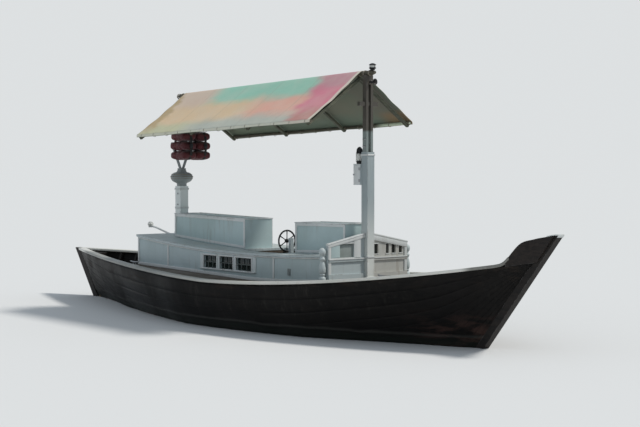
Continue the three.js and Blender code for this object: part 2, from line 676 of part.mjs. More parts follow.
// Lamps, locker box, life jackets, engine
function makeFittings() {
  const face = FORE_POST_X - POST / 2;
  const lockerTop = 2104;
  place("post_locker", box([face - 132, -75, 1850], [face - GAP, 75, lockerTop]), WHITE_PAINT);
  const LAMP = [[0, 0], [38, 0], [46, 38], [46, 146], [40, 190], [24, 222], [0, 226]];
  place("post_lamp", turned(LAMP, face - 70, -28, lockerTop + GAP, 16), BLACK);
  const mast = CANOPY.fore + 190;
  const MAST_LAMP = [[0, 0], [30, 0], [30, 12], [46, 22], [46, 66], [24, 84], [0, 88]];
  const lamp = turned(MAST_LAMP, mast, 0, ridgeZ(mast) + POLE - 3, 16);
  place("masthead_lamp", lamp.subtract(poleSeat), BLACK);
  const hornZ = 3130;
  const horn = join([
    bar([face + 90 + GAP, 0, hornZ], [face + 130, 0, hornZ], 14),
    bar([face + 125, 0, hornZ], [face + 190, 0, hornZ], 14, 40),
  ]);
  place("horn", horn, BLACK);
  const arm = bar([TRUNK.aft - 22, 0, 1045], [-2700, 0, 1190], 14);
  const globe = moved(new THREE.SphereGeometry(45, 16, 12), -2720, 0, 1200);
  const flange = box([TRUNK.aft - 30, -40, 1000], [TRUNK.aft - GAP, 40, 1056]);
  place("stern_lamp", join([arm, globe, flange]), LAMP_WHITE);
  const jacketOutline = [
    [-190, 2170],
    [190, 2170],
    [255, 2240],
    [255, 2510],
    [190, 2580],
    [-190, 2580],
    [-255, 2510],
    [-255, 2240],
  ];
  place("life_jackets", crossPlate(jacketOutline, AFT_POST_X + 24 + GAP, AFT_POST_X + 440), JACKET_RED);
  const engine = box([-1250, -260, -400], [-250, 260, 430]);
  place("engine_block", engine.intersect(innerFit), IRON);
}

// Screw, rudder and steering
function makeRunningGear() {
  const tube = bar([-3420, 0, SHAFT_Z], [-3770, 0, SHAFT_Z], TUBE_RADIUS - GAP);
  const bore = bar([-3300, 0, SHAFT_Z], [-3900, 0, SHAFT_Z], SHAFT_RADIUS + 0.8);
  place("stern_tube", tube.subtract(bore), BRONZE);
  place("propeller_shaft", bar([-3430, 0, SHAFT_Z], [PROP_X + 42, 0, SHAFT_Z], SHAFT_RADIUS), BRONZE);
  const hub = bar([PROP_X + 42 - GAP, 0, SHAFT_Z], [PROP_X - 60, 0, SHAFT_Z], 42, 26);
  const blades = [0, 1, 2].map((index) => {
    const shape = new THREE.Shape();
    shape.moveTo(-22, 20);
    shape.bezierCurveTo(-80, 70, -70, 150, 0, PROP_RADIUS);
    shape.bezierCurveTo(60, 150, 60, 70, 22, 20);
    const geometry = new THREE.ExtrudeGeometry(shape, { depth: 9, bevelEnabled: false, curveSegments: 8 });
    geometry.translate(0, 0, -4.5);
    const pitch = new THREE.Matrix4().makeRotationY(THREE.MathUtils.degToRad(62));
    const stand = new THREE.Matrix4().makeRotationX(Math.PI / 2);
    const around = new THREE.Matrix4().makeRotationX((index * 2 * Math.PI) / 3);
    const matrix = new THREE.Matrix4().makeTranslation(PROP_X, 0, SHAFT_Z).multiply(around).multiply(stand).multiply(pitch);
    return solidOf(geometry, matrix);
  });
  place("propeller", join([hub, ...blades]), BRONZE);

  const bladeLow = KEEL_BOTTOM + 42 + 14;
  const blade = sidePlate(
    [
      [STOCK_X + 60, bladeLow],
      [STOCK_X - 330, bladeLow + 30],
      [STOCK_X - 360, -200],
      [STOCK_X - 60, -140],
      [STOCK_X + 60, -190],
    ],
    -16,
    16,
  );
  const heel = bar([STOCK_X, 0, KEEL_BOTTOM + 26], [STOCK_X, 0, -300], STOCK_RADIUS * 0.7);
  const stockTop = 610;
  const stock = bar([STOCK_X, 0, bladeLow + 10], [STOCK_X, 0, stockTop], STOCK_RADIUS);
  place("rudder_blade", join([blade, heel, stock]), IRON);
  const tillerZ = stockTop - 60;
  const boss = bar([STOCK_X, 0, tillerZ - 26], [STOCK_X, 0, tillerZ + 26], 40);
  const arm = bar([STOCK_X + 20, 0, tillerZ], [STOCK_X + 330, 0, tillerZ], 15);
  const stockBore = bar([STOCK_X, 0, tillerZ - 60], [STOCK_X, 0, tillerZ + 60], STOCK_RADIUS + 2 * GAP);
  place("tiller_arm", join([boss, arm]).subtract(stockBore), IRON);
  const gland = bar([STOCK_X, 0, -40], [STOCK_X, 0, 400], TUBE_RADIUS - GAP);
  const glandBore = bar([STOCK_X, 0, -300], [STOCK_X, 0, 500], STOCK_RADIUS + 1);
  place("rudder_tube", gland.subtract(glandBore), BRONZE);

  const pedestalX = WHEEL.x + 90;
  const pedestal = join([
    box([pedestalX - 24, -26, PIT.floor + GAP], [pedestalX + 24, 26, WHEEL.z + 40]),
    box([pedestalX - 70, -70, PIT.floor + GAP], [pedestalX + 70, 70, PIT.floor + 24]),
  ]);
  const axleBore = bar([pedestalX - 60, 0, WHEEL.z], [pedestalX + 10, 0, WHEEL.z], 15);
  place("steering_pedestal", pedestal.subtract(axleBore), WHITE_PAINT);
  const rimTube = moved(new THREE.TorusGeometry(WHEEL.radius - 12, 12, 8, 28), WHEEL.x, 0, WHEEL.z, 0, Math.PI / 2);
  const wheelHub = bar([WHEEL.x - 26, 0, WHEEL.z], [WHEEL.x + 26, 0, WHEEL.z], 26);
  const axle = bar([WHEEL.x, 0, WHEEL.z], [pedestalX + 2, 0, WHEEL.z], 14);
  const spokes = [0, 1, 2].map((index) => {
    const angle = (index * Math.PI) / 3;
    const reach = [Math.sin(angle) * (WHEEL.radius - 12), Math.cos(angle) * (WHEEL.radius - 12)];
    return bar([WHEEL.x, -reach[0], WHEEL.z - reach[1]], [WHEEL.x, reach[0], WHEEL.z + reach[1]], 7, 7, 10);
  });
  place("steering_wheel", join([rimTube, wheelHub, axle, ...spokes]), BLACK);
}

makeHull();
makeRailsAndDecks();
makeTrunk();
makeEndBoard();
makePosts();
makeCanopy();
makeFittings();
makeRunningGear();

export default boat;
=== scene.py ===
"""Looks of a wooden water taxi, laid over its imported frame.

Metres. +X is forward, +Y is port, +Z is up, and z = 0 is the waterline.
"""

import math

import bmesh
import bpy
import numpy as np
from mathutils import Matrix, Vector


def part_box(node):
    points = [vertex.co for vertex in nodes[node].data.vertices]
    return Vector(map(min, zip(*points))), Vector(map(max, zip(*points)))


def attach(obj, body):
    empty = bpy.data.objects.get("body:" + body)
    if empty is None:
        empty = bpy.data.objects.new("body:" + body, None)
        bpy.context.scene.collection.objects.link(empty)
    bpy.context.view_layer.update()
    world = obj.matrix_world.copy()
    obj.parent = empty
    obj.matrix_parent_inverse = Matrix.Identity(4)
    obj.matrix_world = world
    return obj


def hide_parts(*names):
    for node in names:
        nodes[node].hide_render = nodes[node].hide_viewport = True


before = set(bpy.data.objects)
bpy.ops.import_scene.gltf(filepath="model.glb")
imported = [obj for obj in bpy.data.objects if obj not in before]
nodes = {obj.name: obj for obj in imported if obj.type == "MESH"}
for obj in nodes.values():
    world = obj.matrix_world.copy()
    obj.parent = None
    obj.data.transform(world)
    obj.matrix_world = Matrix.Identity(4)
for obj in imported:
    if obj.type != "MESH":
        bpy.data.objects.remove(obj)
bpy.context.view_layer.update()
SIDES = (("starboard", -1), ("port", 1))
WELD = 2e-5


# Shapes.
class Form:
    """One piece's mesh, gathered from grids of points, rows by columns, sewn round where a grid closes."""

    def __init__(self, *grids, **how):
        self.points, self.faces, self.uvs, self.count = [], [], [], 0
        self.add(*grids, **how)

    def add(self, *grids, columns_close=True, rows_close=False, uv=None):
        for grid in grids:
            rows, columns = grid.shape[:2]
            index = self.count + np.arange(rows * columns).reshape(rows, columns)
            if rows_close:
                index = np.vstack([index, index[:1]])
            if columns_close:
                index = np.hstack([index, index[:, :1]])
            corners = (index[:-1, :-1], index[1:, :-1], index[1:, 1:], index[:-1, 1:])
            self.faces.append(np.stack([corner.ravel() for corner in corners], axis=1))
            self.points.append(np.asarray(grid, float).reshape(-1, 3))
            self.uvs.append(np.zeros((rows * columns, 2)) if uv is None else uv.reshape(-1, 2))
            self.count += rows * columns
        return self

    def gathered(self):
        return (np.concatenate(part) for part in (self.points, self.faces, self.uvs))

    def mirrored(self):
        """The same surfaces once more on the other side: y changes its sign."""
        points, faces, uvs = self.gathered()
        self.points.append(points * (1, -1, 1))
        self.faces.append(faces[:, ::-1] + self.count)
        self.uvs.append(uvs)
        self.count *= 2
        return self

    def made(self, name, look, slot, replaces=None, body="hull", closed=True, sharp=38):
        """Makes the mesh, welds its seams and poles, turns closed skins outward, links the piece to its body
        and gives it back.
        """
        points, faces, uvs = self.gathered()
        mesh = bpy.data.meshes.new(name)
        mesh.from_pydata(points.tolist(), [], faces.tolist())
        mesh.uv_layers.new(name="lay").data.foreach_set("uv", uvs[faces.ravel()].ravel())
        shell = bmesh.new()
        shell.from_mesh(mesh)
        bmesh.ops.remove_doubles(shell, verts=shell.verts, dist=WELD)
        bmesh.ops.dissolve_degenerate(shell, edges=shell.edges, dist=1e-7)
        if closed:
            bmesh.ops.recalc_face_normals(shell, faces=shell.faces)
        shell.to_mesh(mesh)
        shell.free()
        mesh.polygons.foreach_set("use_smooth", np.ones(len(mesh.polygons), bool))
        mesh.set_sharp_from_angle(angle=math.radians(sharp))
        mesh.materials.append(LOOKS[look])
        piece = bpy.data.objects.new(name, mesh)
        bpy.context.collection.objects.link(piece)
        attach(piece, body)
        if replaces:
            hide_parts(replaces)
        return piece


def thickened(piece, thickness, offset):
    """Gives an open skin its wall: offset -1 puts it inside, 0 half on each side."""
    wall = piece.modifiers.new("wall", "SOLIDIFY")
    wall.thickness, wall.offset = thickness, offset


def spread(x, y, z):
    """Three arrays of places, spread to one grid of points."""
    return np.stack(np.broadcast_arrays(x, y, z), axis=-1)


def unit(vectors):
    return vectors / np.maximum(np.linalg.norm(vectors, axis=-1, keepdims=True), 1e-12)


def blunt(value, power):
    return np.sign(value) * np.abs(value) ** power


def circle(sides):
    """Points of a unit circle: cosine and sine of even steps of angle."""
    angle = np.linspace(0, 2 * math.pi, sides, endpoint=False)
    return np.stack([np.cos(angle), np.sin(angle)], axis=-1)


def rounded(width, height, radius, steps=3):
    """Outline of a rectangle with rounded corners: a quarter circle about each of four corner centres."""
    angle = (np.arange(4)[:, None] * math.pi / 2 + np.linspace(0, math.pi / 2, steps)).ravel()
    signs = np.array([(1, 1), (-1, 1), (-1, -1), (1, -1)])
    centres = np.repeat(signs * (width / 2 - radius, height / 2 - radius), steps, axis=0)
    return centres + radius * np.stack([np.cos(angle), np.sin(angle)], axis=-1)


def capped(grid):
    """A tube of rings with its two ends drawn together at the middle of the end rings."""
    ends = [np.broadcast_to(ring.mean(axis=0), ring.shape)[None] for ring in (grid[0], grid[-1])]
    return np.concatenate([ends[0], grid, ends[1]])


def carried(path, profile, up=(0, 0, 1), size=1.0):
    """A flat profile carried along a path, square to it: its first axis level to the side, its second
    towards up, closed at both ends. size grows or shrinks the profile from point to point of the path."""
    path = np.asarray(path, float)
    along = unit(np.gradient(path, axis=0))
    side = unit(np.cross(along, np.broadcast_to(np.asarray(up, float), path.shape)))
    over = np.cross(side, along)
    flat = profile[None] * np.broadcast_to(np.asarray(size, float), (len(path),))[:, None, None]
    return capped(path[:, None] + flat[..., :1] * side[:, None] + flat[..., 1:] * over[:, None])


def across(axis, spare):
    """Two directions square to an axis, the first of them also square to a spare direction."""
    first = unit(np.cross(axis, spare))
    return first, np.cross(axis, first)


def turned(profile, foot, axis=(0, 0, 1), sides=32):
    """A profile of radius and height turned about an axis: the radius times a circle, the height along the
    axis."""
    radius, height = np.asarray(profile, float).T
    axis = unit(np.asarray(axis, float))
    around = circle(sides) @ np.stack(across(axis, (0, 1, 0) if abs(axis[1]) < 0.9 else (1, 0, 0)))
    return np.asarray(foot, float) + height[:, None, None] * axis + radius[:, None, None] * around[None]


def fair(points, count):
    """A fair curve through points: between each two a cubic whose end slopes are the mean chords there."""
    points = np.asarray(points, float)
    place = np.r_[0, np.cumsum(np.linalg.norm(np.diff(points, axis=0), axis=1))]
    slope = np.gradient(points, place, axis=0)
    at = np.linspace(0, place[-1], count)
    low = np.clip(np.searchsorted(place, at, side="right") - 1, 0, len(place) - 2)
    span = (place[low + 1] - place[low])[:, None]
    s = (at - place[low])[:, None] / span
    start = (2 * s**3 - 3 * s**2 + 1) * points[low] + (s**3 - 2 * s**2 + s) * span * slope[low]
    return start + (3 * s**2 - 2 * s**3) * points[low + 1] + (s**3 - s**2) * span * slope[low + 1]


def board(low, high, ease=0.004):
    """A board between two corners: a rounded outline along its longest side, drawn in at both ends."""
    low, high = np.minimum(low, high), np.maximum(low, high)
    size = high - low
    along = int(np.argmax(size))
    others = [(along + 1) % 3, (along + 2) % 3]
    wide, deep = size[others]
    ease = min(ease, 0.45 * min(wide, deep))
    full = rounded(wide, deep, ease)
    drawn = rounded(wide - 2 * ease, deep - 2 * ease, 1e-5)
    grid = np.empty((4, len(full), 3))
    grid[..., others] = np.stack([drawn, full, full, drawn]) + (low + high)[others] / 2
    grid[..., along] = np.array([low[along], low[along] + ease, high[along] - ease, high[along]])[:, None]
    return capped(grid)


def plates(axis, near, far, rectangles, ease=0.004):
    """Boards of one thickness, from near to far along an axis; each is a rectangle square to that axis, given
    by its low and its high corner."""
    return [board(np.insert(low, axis, near), np.insert(high, axis, far), ease) for low, high in rectangles]


def moulding(x, y, z, width, height, ease=0.004):
    """A strip in upright slices along x: a rounded outline about the middle y, z(x)."""
    outline = rounded(width, height, ease)
    return capped(spread(x[:, None], y + outline[:, 0], z[:, None] + outline[:, 1]))


def slat(start, end, width, depth, up=(0, 0, 1), ease=0.004):
    """A straight slat from point to point, with a rounded outline."""
    return carried(np.linspace(start, end, 2), rounded(width, depth, ease), up)


def lashing(middle, axis, radius, turns, cord):
    """Turns of line round a spar: a helix about the axis, with a round outline carried along it."""
    axis = unit(np.asarray(axis, float))
    first, second = across(axis, (0, 0, 1) if abs(axis[2]) < 0.9 else (1, 0, 0))
    share = np.linspace(0, 1, turns * 16 + 1)[:, None]
    angle = share * turns * 2 * math.pi
    outward = np.cos(angle) * first + np.sin(angle) * second
    path = np.asarray(middle, float) + (share - 0.5) * turns * cord * 2.05 * axis + radius * outward
    return carried(path, circle(8) * cord, outward)


# Lines of the boat, as in the frame.
STATIONS = np.arange(-5.25, 5.51, 0.25)
RAIL_CAP = 0.035
WIDEST_X, RAIL_LOW_X = 0.2, 0.6
CENTRE_X = [-5.53, -4.285, -4.0, -3.5, -2.8, -1.5, 0.5, 2.5, 3.5, 3.9, 4.12, 4.285, 5.545]
CENTRE_Z = [1.66, 0.0, -0.11, -0.205, -0.28, -0.335, -0.35, -0.345, -0.315, -0.26, -0.16, 0.0, 1.5]
SECTION_X = [-4.9, -4.0, -2.5, 0.0, 2.2, 3.7, 5.23]
LOW_OUT = [0.3, 0.24, 0.42, 0.56, 0.46, 0.24, 0.28]
LOW_UP = [0.3, 0.12, 0.04, 0.02, 0.04, 0.12, 0.3]
HIGH_OUT = [0.65, 0.62, 0.88, 1.0, 0.94, 0.6, 0.6]
HIGH_UP = [0.68, 0.5, 0.32, 0.22, 0.26, 0.48, 0.66]


def half_breadth(x):
    ahead = x > WIDEST_X
    share = np.minimum(np.abs(x - WIDEST_X) / np.where(ahead, 5.03, 5.1), 1)
    return np.maximum(1.4 * (1 - share ** np.where(ahead, 2.2, 1.45)), 0.02)


def rail_top(x):
    share = np.abs(x - RAIL_LOW_X) / 5
    return 0.64 + np.where(x > RAIL_LOW_X, 0.505 * share**1.92, 0.112 * share**0.85)


def deck_top(x):
    return np.interp(x, STATIONS, rail_top(STATIONS)) - 0.05


def seat_top(x):
    ahead = STATIONS > RAIL_LOW_X
    share = np.abs(STATIONS - RAIL_LOW_X) / np.where(ahead, 1.662, 2.63)
    return np.interp(x, STATIONS, 0.95 + np.where(ahead, 0.045, 0.14) * share**2)


def eased(x, xs, zs, reach=0.1):
    """A line of straight runs with its corners eased: the mean of nine neighbours along x."""
    return np.mean([np.interp(x + step, xs, zs) for step in np.linspace(-reach, reach, 9)], axis=0)


def section(x, s):
    """Breadth and height of the planking at stations x and shares s of its girth: a cubic from keel to rail,
    whose two handles are shares of breadth and depth."""
    low_out, low_up, high_out, high_up, low = (
        eased(x, xs, values)[:, None]
        for xs, values in (
            (SECTION_X, LOW_OUT), (SECTION_X, LOW_UP), (SECTION_X, HIGH_OUT), (SECTION_X, HIGH_UP),
            (CENTRE_X, CENTRE_Z),
        )
    )
    half, high = half_breadth(x)[:, None], (rail_top(x) - RAIL_CAP)[:, None]
    first, second = 3 * s * (1 - s) ** 2, 3 * s**2 * (1 - s)
    out = first * low_out * half + second * high_out * half + s**3 * half
    return out, low + (first * low_up + second * high_up + s**3) * (high - low)


RIDGE_FORE, RIDGE_AFT, CANOPY_FORE, CANOPY_AFT = 3.239, 3.111, 2.193, -1.742
EAVE_DROP, CANOPY_HALF, POLE = 0.61, 0.846, 0.032
RIDGE_SLOPE = (RIDGE_FORE - RIDGE_AFT) / (CANOPY_FORE - CANOPY_AFT)


def ridge_z(x):
    return RIDGE_FORE + (x - CANOPY_FORE) * RIDGE_SLOPE


# Shader shorthand.
class Share:
    """What one output of a node gives. A sum on it lays the math node for that sum beside it."""

    def __init__(self, socket):
        self.socket = socket

    def __add__(self, other):
        return sums("ADD", self, other)

    def __sub__(self, other):
        return sums("SUBTRACT", self, other)

    def __rsub__(self, other):
        return sums("SUBTRACT", other, self)

    def __mul__(self, other):
        return sums("MULTIPLY", self, other)

    def __truediv__(self, other):
        return sums("DIVIDE", self, other)

    def __abs__(self):
        return sums("ABSOLUTE", self)


class Laid:
    """A node in its tree, whose outputs are asked for by number or by name."""

    def __init__(self, node):
        self.node = node

    def __getitem__(self, output):
        return Share(self.node.outputs[output])


def lay(kind, inputs, tree=None, **settings):
    """Lays one node, sets it, and links or fills its inputs. The tree is the one that its links come from."""
    tree = tree or next(value.socket.id_data for value in inputs.values() if isinstance(value, Share))
    node = tree.nodes.new("ShaderNode" + kind)
    for key, value in settings.items():
        setattr(node, key, value)
    for key, value in inputs.items():
        if isinstance(value, Share):
            tree.links.new(value.socket, node.inputs[key])
        else:
            node.inputs[key].default_value = value
    return Laid(node)


def sums(operation, *values):
    return lay("Math", dict(enumerate(values)), operation=operation)[0]


def mixed(share, first, second):
    first, second = ((*tone, 1) if isinstance(tone, tuple) else tone for tone in (first, second))
    return lay("Mix", {0: share, 6: first, 7: second}, data_type="RGBA")[2]


def coated(colour, *coats):
    """A colour under coats, each a share of cover and a tone, laid one over the other."""
    for share, tone in coats:
        colour = mixed(share, colour, tone)
    return colour


def shade(tone, share):
    return tuple(part * share for part in tone)


def ramp(value, low, high, start=0.0, end=1.0):
    inputs = {0: value, 1: low, 2: high, 3: start, 4: end}
    return lay("MapRange", inputs, interpolation_type="SMOOTHSTEP")[0]


def noise(vector, scale, detail=3.0, roughness=0.55, distortion=0.0):
    inputs = {"Vector": vector, "Scale": scale, "Detail": detail, "Roughness": roughness}
    return lay("TexNoise", {**inputs, "Distortion": distortion})[0]


def stretched(vector, scale):
    return lay("VectorMath", {0: vector, 1: scale}, operation="MULTIPLY")[0]


def dotted(first, second):
    return lay("VectorMath", {0: first, 1: second}, operation="DOT_PRODUCT")["Value"]


def parted(vector):
    laid = lay("SeparateXYZ", {0: vector})
    return laid[0], laid[1], laid[2]


# Shared effects.
def effect_of(name, **inputs):
    """A new shader node group and its named inputs: a value where the default is a number, else a vector."""
    tree = bpy.data.node_groups.new(name, "ShaderNodeTree")
    for label, default in inputs.items():
        kind = "NodeSocketFloat" if isinstance(default, float) else "NodeSocketVector"
        socket = tree.interface.new_socket(label, in_out="INPUT", socket_type=kind)
        if default is not None:
            socket.default_value = default
    return tree, Laid(tree.nodes.new("NodeGroupInput"))


def giving(tree, **outputs):
    """Gives a group its named outputs."""
    for label in outputs:
        tree.interface.new_socket(label, in_out="OUTPUT", socket_type="NodeSocketFloat")
    sink = tree.nodes.new("NodeGroupOutput")
    for label, value in outputs.items():
        tree.links.new(value.socket, sink.inputs[label])
    return tree


def use(effect, **inputs):
    return lay("Group", inputs, node_tree=effect)


def make_grain():
    """Wood grain: noise stretched along the timber, coarse bands with fine fibres on them."""
    tree, given = effect_of("grain", Vector=None, Stretch=(1, 12, 12), Scale=3.0)
    long_way = stretched(given["Vector"], given["Stretch"])
    bands = noise(long_way, given["Scale"], 4, 0.6, 0.7)
    fibre = noise(long_way, given["Scale"] * 9.0, 3, 0.7)
    return giving(tree, Figure=ramp(bands * 0.7 + fibre * 0.3, 0.34, 0.66), Fibre=fibre)


def make_boards():
    """Boards side by side: a joint where the share across nears a whole number, and a random tone a board."""
    tree, given = effect_of("boards", Across=0.0, Along=0.0, Width=0.1, Length=2.4, Gap=0.003)
    side_share = given["Across"] / given["Width"]
    row = sums("FLOOR", side_share)
    stagger = lay("TexWhiteNoise", {"W": row}, noise_dimensions="1D")[0] * 7.3
    end_share = given["Along"] / given["Length"] + stagger
    joints = [
        ramp(sums("PINGPONG", share, 0.5) * pitch, given["Gap"], given["Gap"] * 0.35)
        for share, pitch in ((side_share, given["Width"]), (end_share, given["Length"]))
    ]
    pair = lay("CombineXYZ", {0: row, 1: sums("FLOOR", end_share)})[0]
    tone = lay("TexWhiteNoise", {"Vector": pair}, noise_dimensions="3D")[0]
    return giving(tree, Joint=sums("MAXIMUM", *joints), Tone=tone)


def make_edges():
    """Worn edges, where a rounded normal turns away from the true one, broken up by noise, and chips."""
    tree, given = effect_of("edges", Vector=None, Radius=0.006, Amount=0.5)
    soft = lay("Bevel", {"Radius": given["Radius"]}, samples=6)[0]
    facing = dotted(soft, lay("NewGeometry", {}, tree)["Normal"])
    low = 0.72 - given["Amount"] * 0.42
    patchy = ramp(noise(given["Vector"], 9.0, 5, 0.65), low, low + 0.08)
    gate = 0.8 - given["Amount"] * 0.12
    specks = ramp(noise(given["Vector"], 26.0, 4, 0.7), gate, gate + 0.02)
    return giving(tree, Worn=ramp(facing, 0.995, 0.86) * patchy, Chip=specks)


def make_weather():
    """Dust that lies on upward faces, and runs of grime down upright ones: noise stretched along z."""
    tree, given = effect_of("weather", Vector=None)
    place = given["Vector"]
    upward = parted(lay("TexCoord", {}, tree)["Normal"])[2]
    cloud = noise(place, 2.2, 5, 0.6)
    drips = noise(stretched(place, (1, 1, 0.09)), 13.0, 4, 0.7, 0.2)
    runs = ramp(drips, 0.52, 0.72) * ramp(noise(place, 1.3, 3), 0.38, 0.62)
    return giving(
        tree,
        Dust=ramp(upward, 0.35, 0.95) * ramp(cloud, 0.35, 0.65),
        Runs=runs * ramp(abs(upward), 0.7, 0.3),
        Blotch=noise(place, 0.9, 6, 0.62, 0.4),
    )


def make_weave():
    """Plain weave from two crossed sines of the cloth's own lay, one for the warp and one for the weft."""
    tree, given = effect_of("weave", Lay=None, Threads=600.0)
    warp, weft = (sums("SINE", part * given["Threads"]) for part in parted(given["Lay"])[:2])
    slub = noise(stretched(given["Lay"], (2, 60, 1)), 6.0, 4, 0.6)
    return giving(tree, Height=warp * weft, Slub=slub)


GRAIN, BOARDS, EDGES, WEATHER, WEAVE = make_grain(), make_boards(), make_edges(), make_weather(), make_weave()


# Finishes.
LOOKS = {}
ALONG = {"x": (1, 14, 14), "y": (14, 1, 14), "z": (14, 14, 1)}


def surface_of(name, constants):
    """A new material's surface shader, with its constant values set on its own sockets."""
    look = bpy.data.materials.new(name)
    look.use_nodes = True
    look.node_tree.nodes.clear()
    shader = lay("BsdfPrincipled", constants, look.node_tree)
    lay("OutputMaterial", {"Surface": shader[0]}, is_active_output=True)
    LOOKS[name] = look
    return shader.node


def spot_on(shader):
    return lay("TexCoord", {}, shader.id_data)


def finish_of(name, constants=()):
    """A new material's shader, the place on the piece, and the weather there."""
    shader = surface_of(name, dict(constants))
    place = spot_on(shader)["Object"]
    return shader, place, use(WEATHER, Vector=place)


def dressed(shader, colour, roughness, height, depth, **others):
    """Links a finish to its shader: colour, roughness, and height by way of a bump of the given depth."""
    bump = lay("Bump", {"Height": height, "Distance": depth, "Strength": 0.6})[0]
    places = {"Base Color": colour, "Roughness": roughness, "Normal": bump, **others}
    for label, value in places.items():
        shader.id_data.links.new(value.socket, shader.inputs[label])


def mottled(weather, low, high):
    """Roughness that drifts between two values in clouds."""
    return ramp(weather["Blotch"], 0.3, 0.7, low, high)


def fade(place, axis, start, full):
    """A share that grows from 0 to 1 between two places along an axis."""
    return ramp(parted(place)["xyz".index(axis)], start, full)


def board_rows(place, along, side, width, length, gap=0.003):
    where = dict(zip("xyz", parted(place)))
    return use(BOARDS, Across=where[side], Along=where[along], Width=width, Length=length, Gap=gap)


def timber(name, dark, light, rough, along="x", boards=None, coat=None):
    """Bare or oiled wood: grain between two tones, board joints, worn edges and dust.

    coat names a paint over part of it: its colour and the two places along x between which it fades in."""
    shader, place, weather = finish_of(name, {"Specular IOR Level": 0.35})
    grain = use(GRAIN, Vector=place, Stretch=ALONG[along], Scale=2.4)
    worn = use(EDGES, Vector=place, Amount=0.55)["Worn"]
    bleached = tuple(0.55 * part + 0.22 for part in light)
    colour = mixed(grain["Figure"], dark, light)
    colour = coated(colour, (weather["Dust"] * 0.4, bleached), (worn * 0.6, bleached))
    height = grain["Fibre"] * 0.5
    if boards:
        rows = board_rows(place, along, *boards)
        colour = coated(colour, (rows["Tone"] * 0.5, shade(dark, 0.55)), (rows["Joint"], shade(dark, 0.12)))
        height = height - rows["Joint"] * 1.6
    if coat:
        tone, start, full = coat
        colour = mixed(fade(place, "x", start, full), colour, tone)
    dressed(shader, colour, mottled(weather, rough - 0.08, rough + 0.1), height, 0.0016)


WOOD_UNDER = (0.12, 0.085, 0.06)
DIRT, DUST = (0.2, 0.15, 0.1), (0.5, 0.46, 0.38)
AGED = (0.84, 0.85, 0.83)


def paint(name, base, rough, wear, grime, along="x", under=WOOD_UNDER, boards=None, coats=()):
    """Brushed paint on wood: strokes along the board, chips and worn edges down to the wood, runs, dust.

    coats are further coats: a colour, then one or more fades that are multiplied, each an axis and the two
    places along it between which the coat fades in."""
    shader, place, weather = finish_of(name, {"Specular IOR Level": 0.45, "Coat Roughness": 0.3})
    strokes = use(GRAIN, Vector=place, Stretch=ALONG[along], Scale=5.0)
    edges = use(EDGES, Vector=place, Amount=wear)
    aged = tuple(part * share for part, share in zip(base, AGED))
    colour = mixed(ramp(weather["Blotch"], 0.35, 0.65), base, aged)
    for tone, *fades in coats:
        first, *more = (fade(place, *span) for span in fades)
        colour = mixed(math.prod(more, start=first), colour, tone)
    colour = coated(
        colour, (strokes["Figure"] * 0.14, shade(base, 0.8)), (weather["Runs"] * grime, DIRT),
        (weather["Dust"] * 0.25, DUST),
    )
    height = strokes["Fibre"] * 0.22
    if boards:
        rows = board_rows(place, along, *boards, gap=0.0022)
        joint = rows["Joint"]
        colour = coated(colour, (rows["Tone"] * 0.12, shade(base, 0.7)), (joint * 0.8, shade(base, 0.25)))
        height = height - joint * 1.2
    bare = sums("MAXIMUM", edges["Worn"], edges["Chip"] * 0.9)
    roughness = mottled(weather, rough - 0.1, rough + 0.1) + bare * 0.2
    dressed(shader, mixed(bare, colour, under), roughness, height - bare * 0.5, 0.0012)


def metal(name, base, tarnish, rough, metallic, wear):
    """Metal with tarnish or rust in clouds: metallic where it is bare, dull and rough where it has turned."""
    shader, place, weather = finish_of(name)
    fine = noise(place, 38.0, 5, 0.7)
    dulled = ramp(weather["Blotch"] * 0.5 + fine * 0.5, 0.62 - 0.25 * wear, 0.72 - 0.2 * wear)
    roughness = ramp(dulled, 0, 1, rough, rough + 0.3)
    bright = ramp(dulled, 0, 1, metallic, 0.1 * metallic)
    dressed(shader, mixed(dulled, base, tarnish), roughness, fine * dulled, 0.0015, Metallic=bright)


def make_hull_look():
    """Oiled planking: a tone a plank, scuffs under the rail and at the forefoot, a tide band with a line of
    salt at the waterline, dull red and weed below it."""
    shader, place, weather = finish_of("hull_planks", {"Specular IOR Level": 0.14})
    grain = use(GRAIN, Vector=place, Stretch=(1, 10, 10), Scale=2.0)
    run, strake, _ = parted(spot_on(shader)["UV"])
    rows = use(BOARDS, Across=strake, Along=run, Width=1.0, Length=3.1, Gap=0.004)
    x, _, z = parted(place)
    scuff = noise(stretched(place, (0.5, 1, 3)), 3.2, 6, 0.72, 0.5)
    near_rail = ramp(z - ramp(x, 0.6, 5.0, 0.56, 0.9), -0.16, 0.0)
    worn = ramp(scuff, 0.52, 0.66) * (near_rail * 0.6 + 0.1)
    rubbed = ramp(x, 3.3, 4.1) * ramp(z, 0.5, 0.12) * ramp(scuff, 0.44, 0.6)
    tide = z + (weather["Blotch"] - 0.5) * 0.09
    salt = ramp(tide, 0.115, 0.135) * ramp(tide, 0.17, 0.14)
    bottom = mixed(ramp(scuff, 0.4, 0.62), (0.13, 0.028, 0.02), (0.05, 0.06, 0.035))
    colour = coated(
        mixed(grain["Figure"], (0.0022, 0.0021, 0.0021), (0.0068, 0.0058, 0.0052)),
        (rows["Tone"] * 0.5, (0.0085, 0.0074, 0.0066)),
        (worn * 0.6, (0.045, 0.033, 0.026)),
        (rubbed * 0.6, (0.075, 0.04, 0.032)),
        (weather["Runs"] * 0.16, (0.1, 0.09, 0.078)),
        (ramp(tide, 0.15, 0.045) * 0.5, (0.02, 0.026, 0.02)),
        (salt * 0.22, (0.13, 0.128, 0.115)),
        (ramp(tide, 0.01, -0.02), bottom),
        (rows["Joint"] * 0.7, (0.002, 0.0018, 0.0016)),
    )
    height = grain["Fibre"] * 0.5 + worn * -0.5 - rows["Joint"] * 1.5
    dressed(shader, colour, mottled(weather, 0.42, 0.66) + worn * 0.2, height, 0.0018)


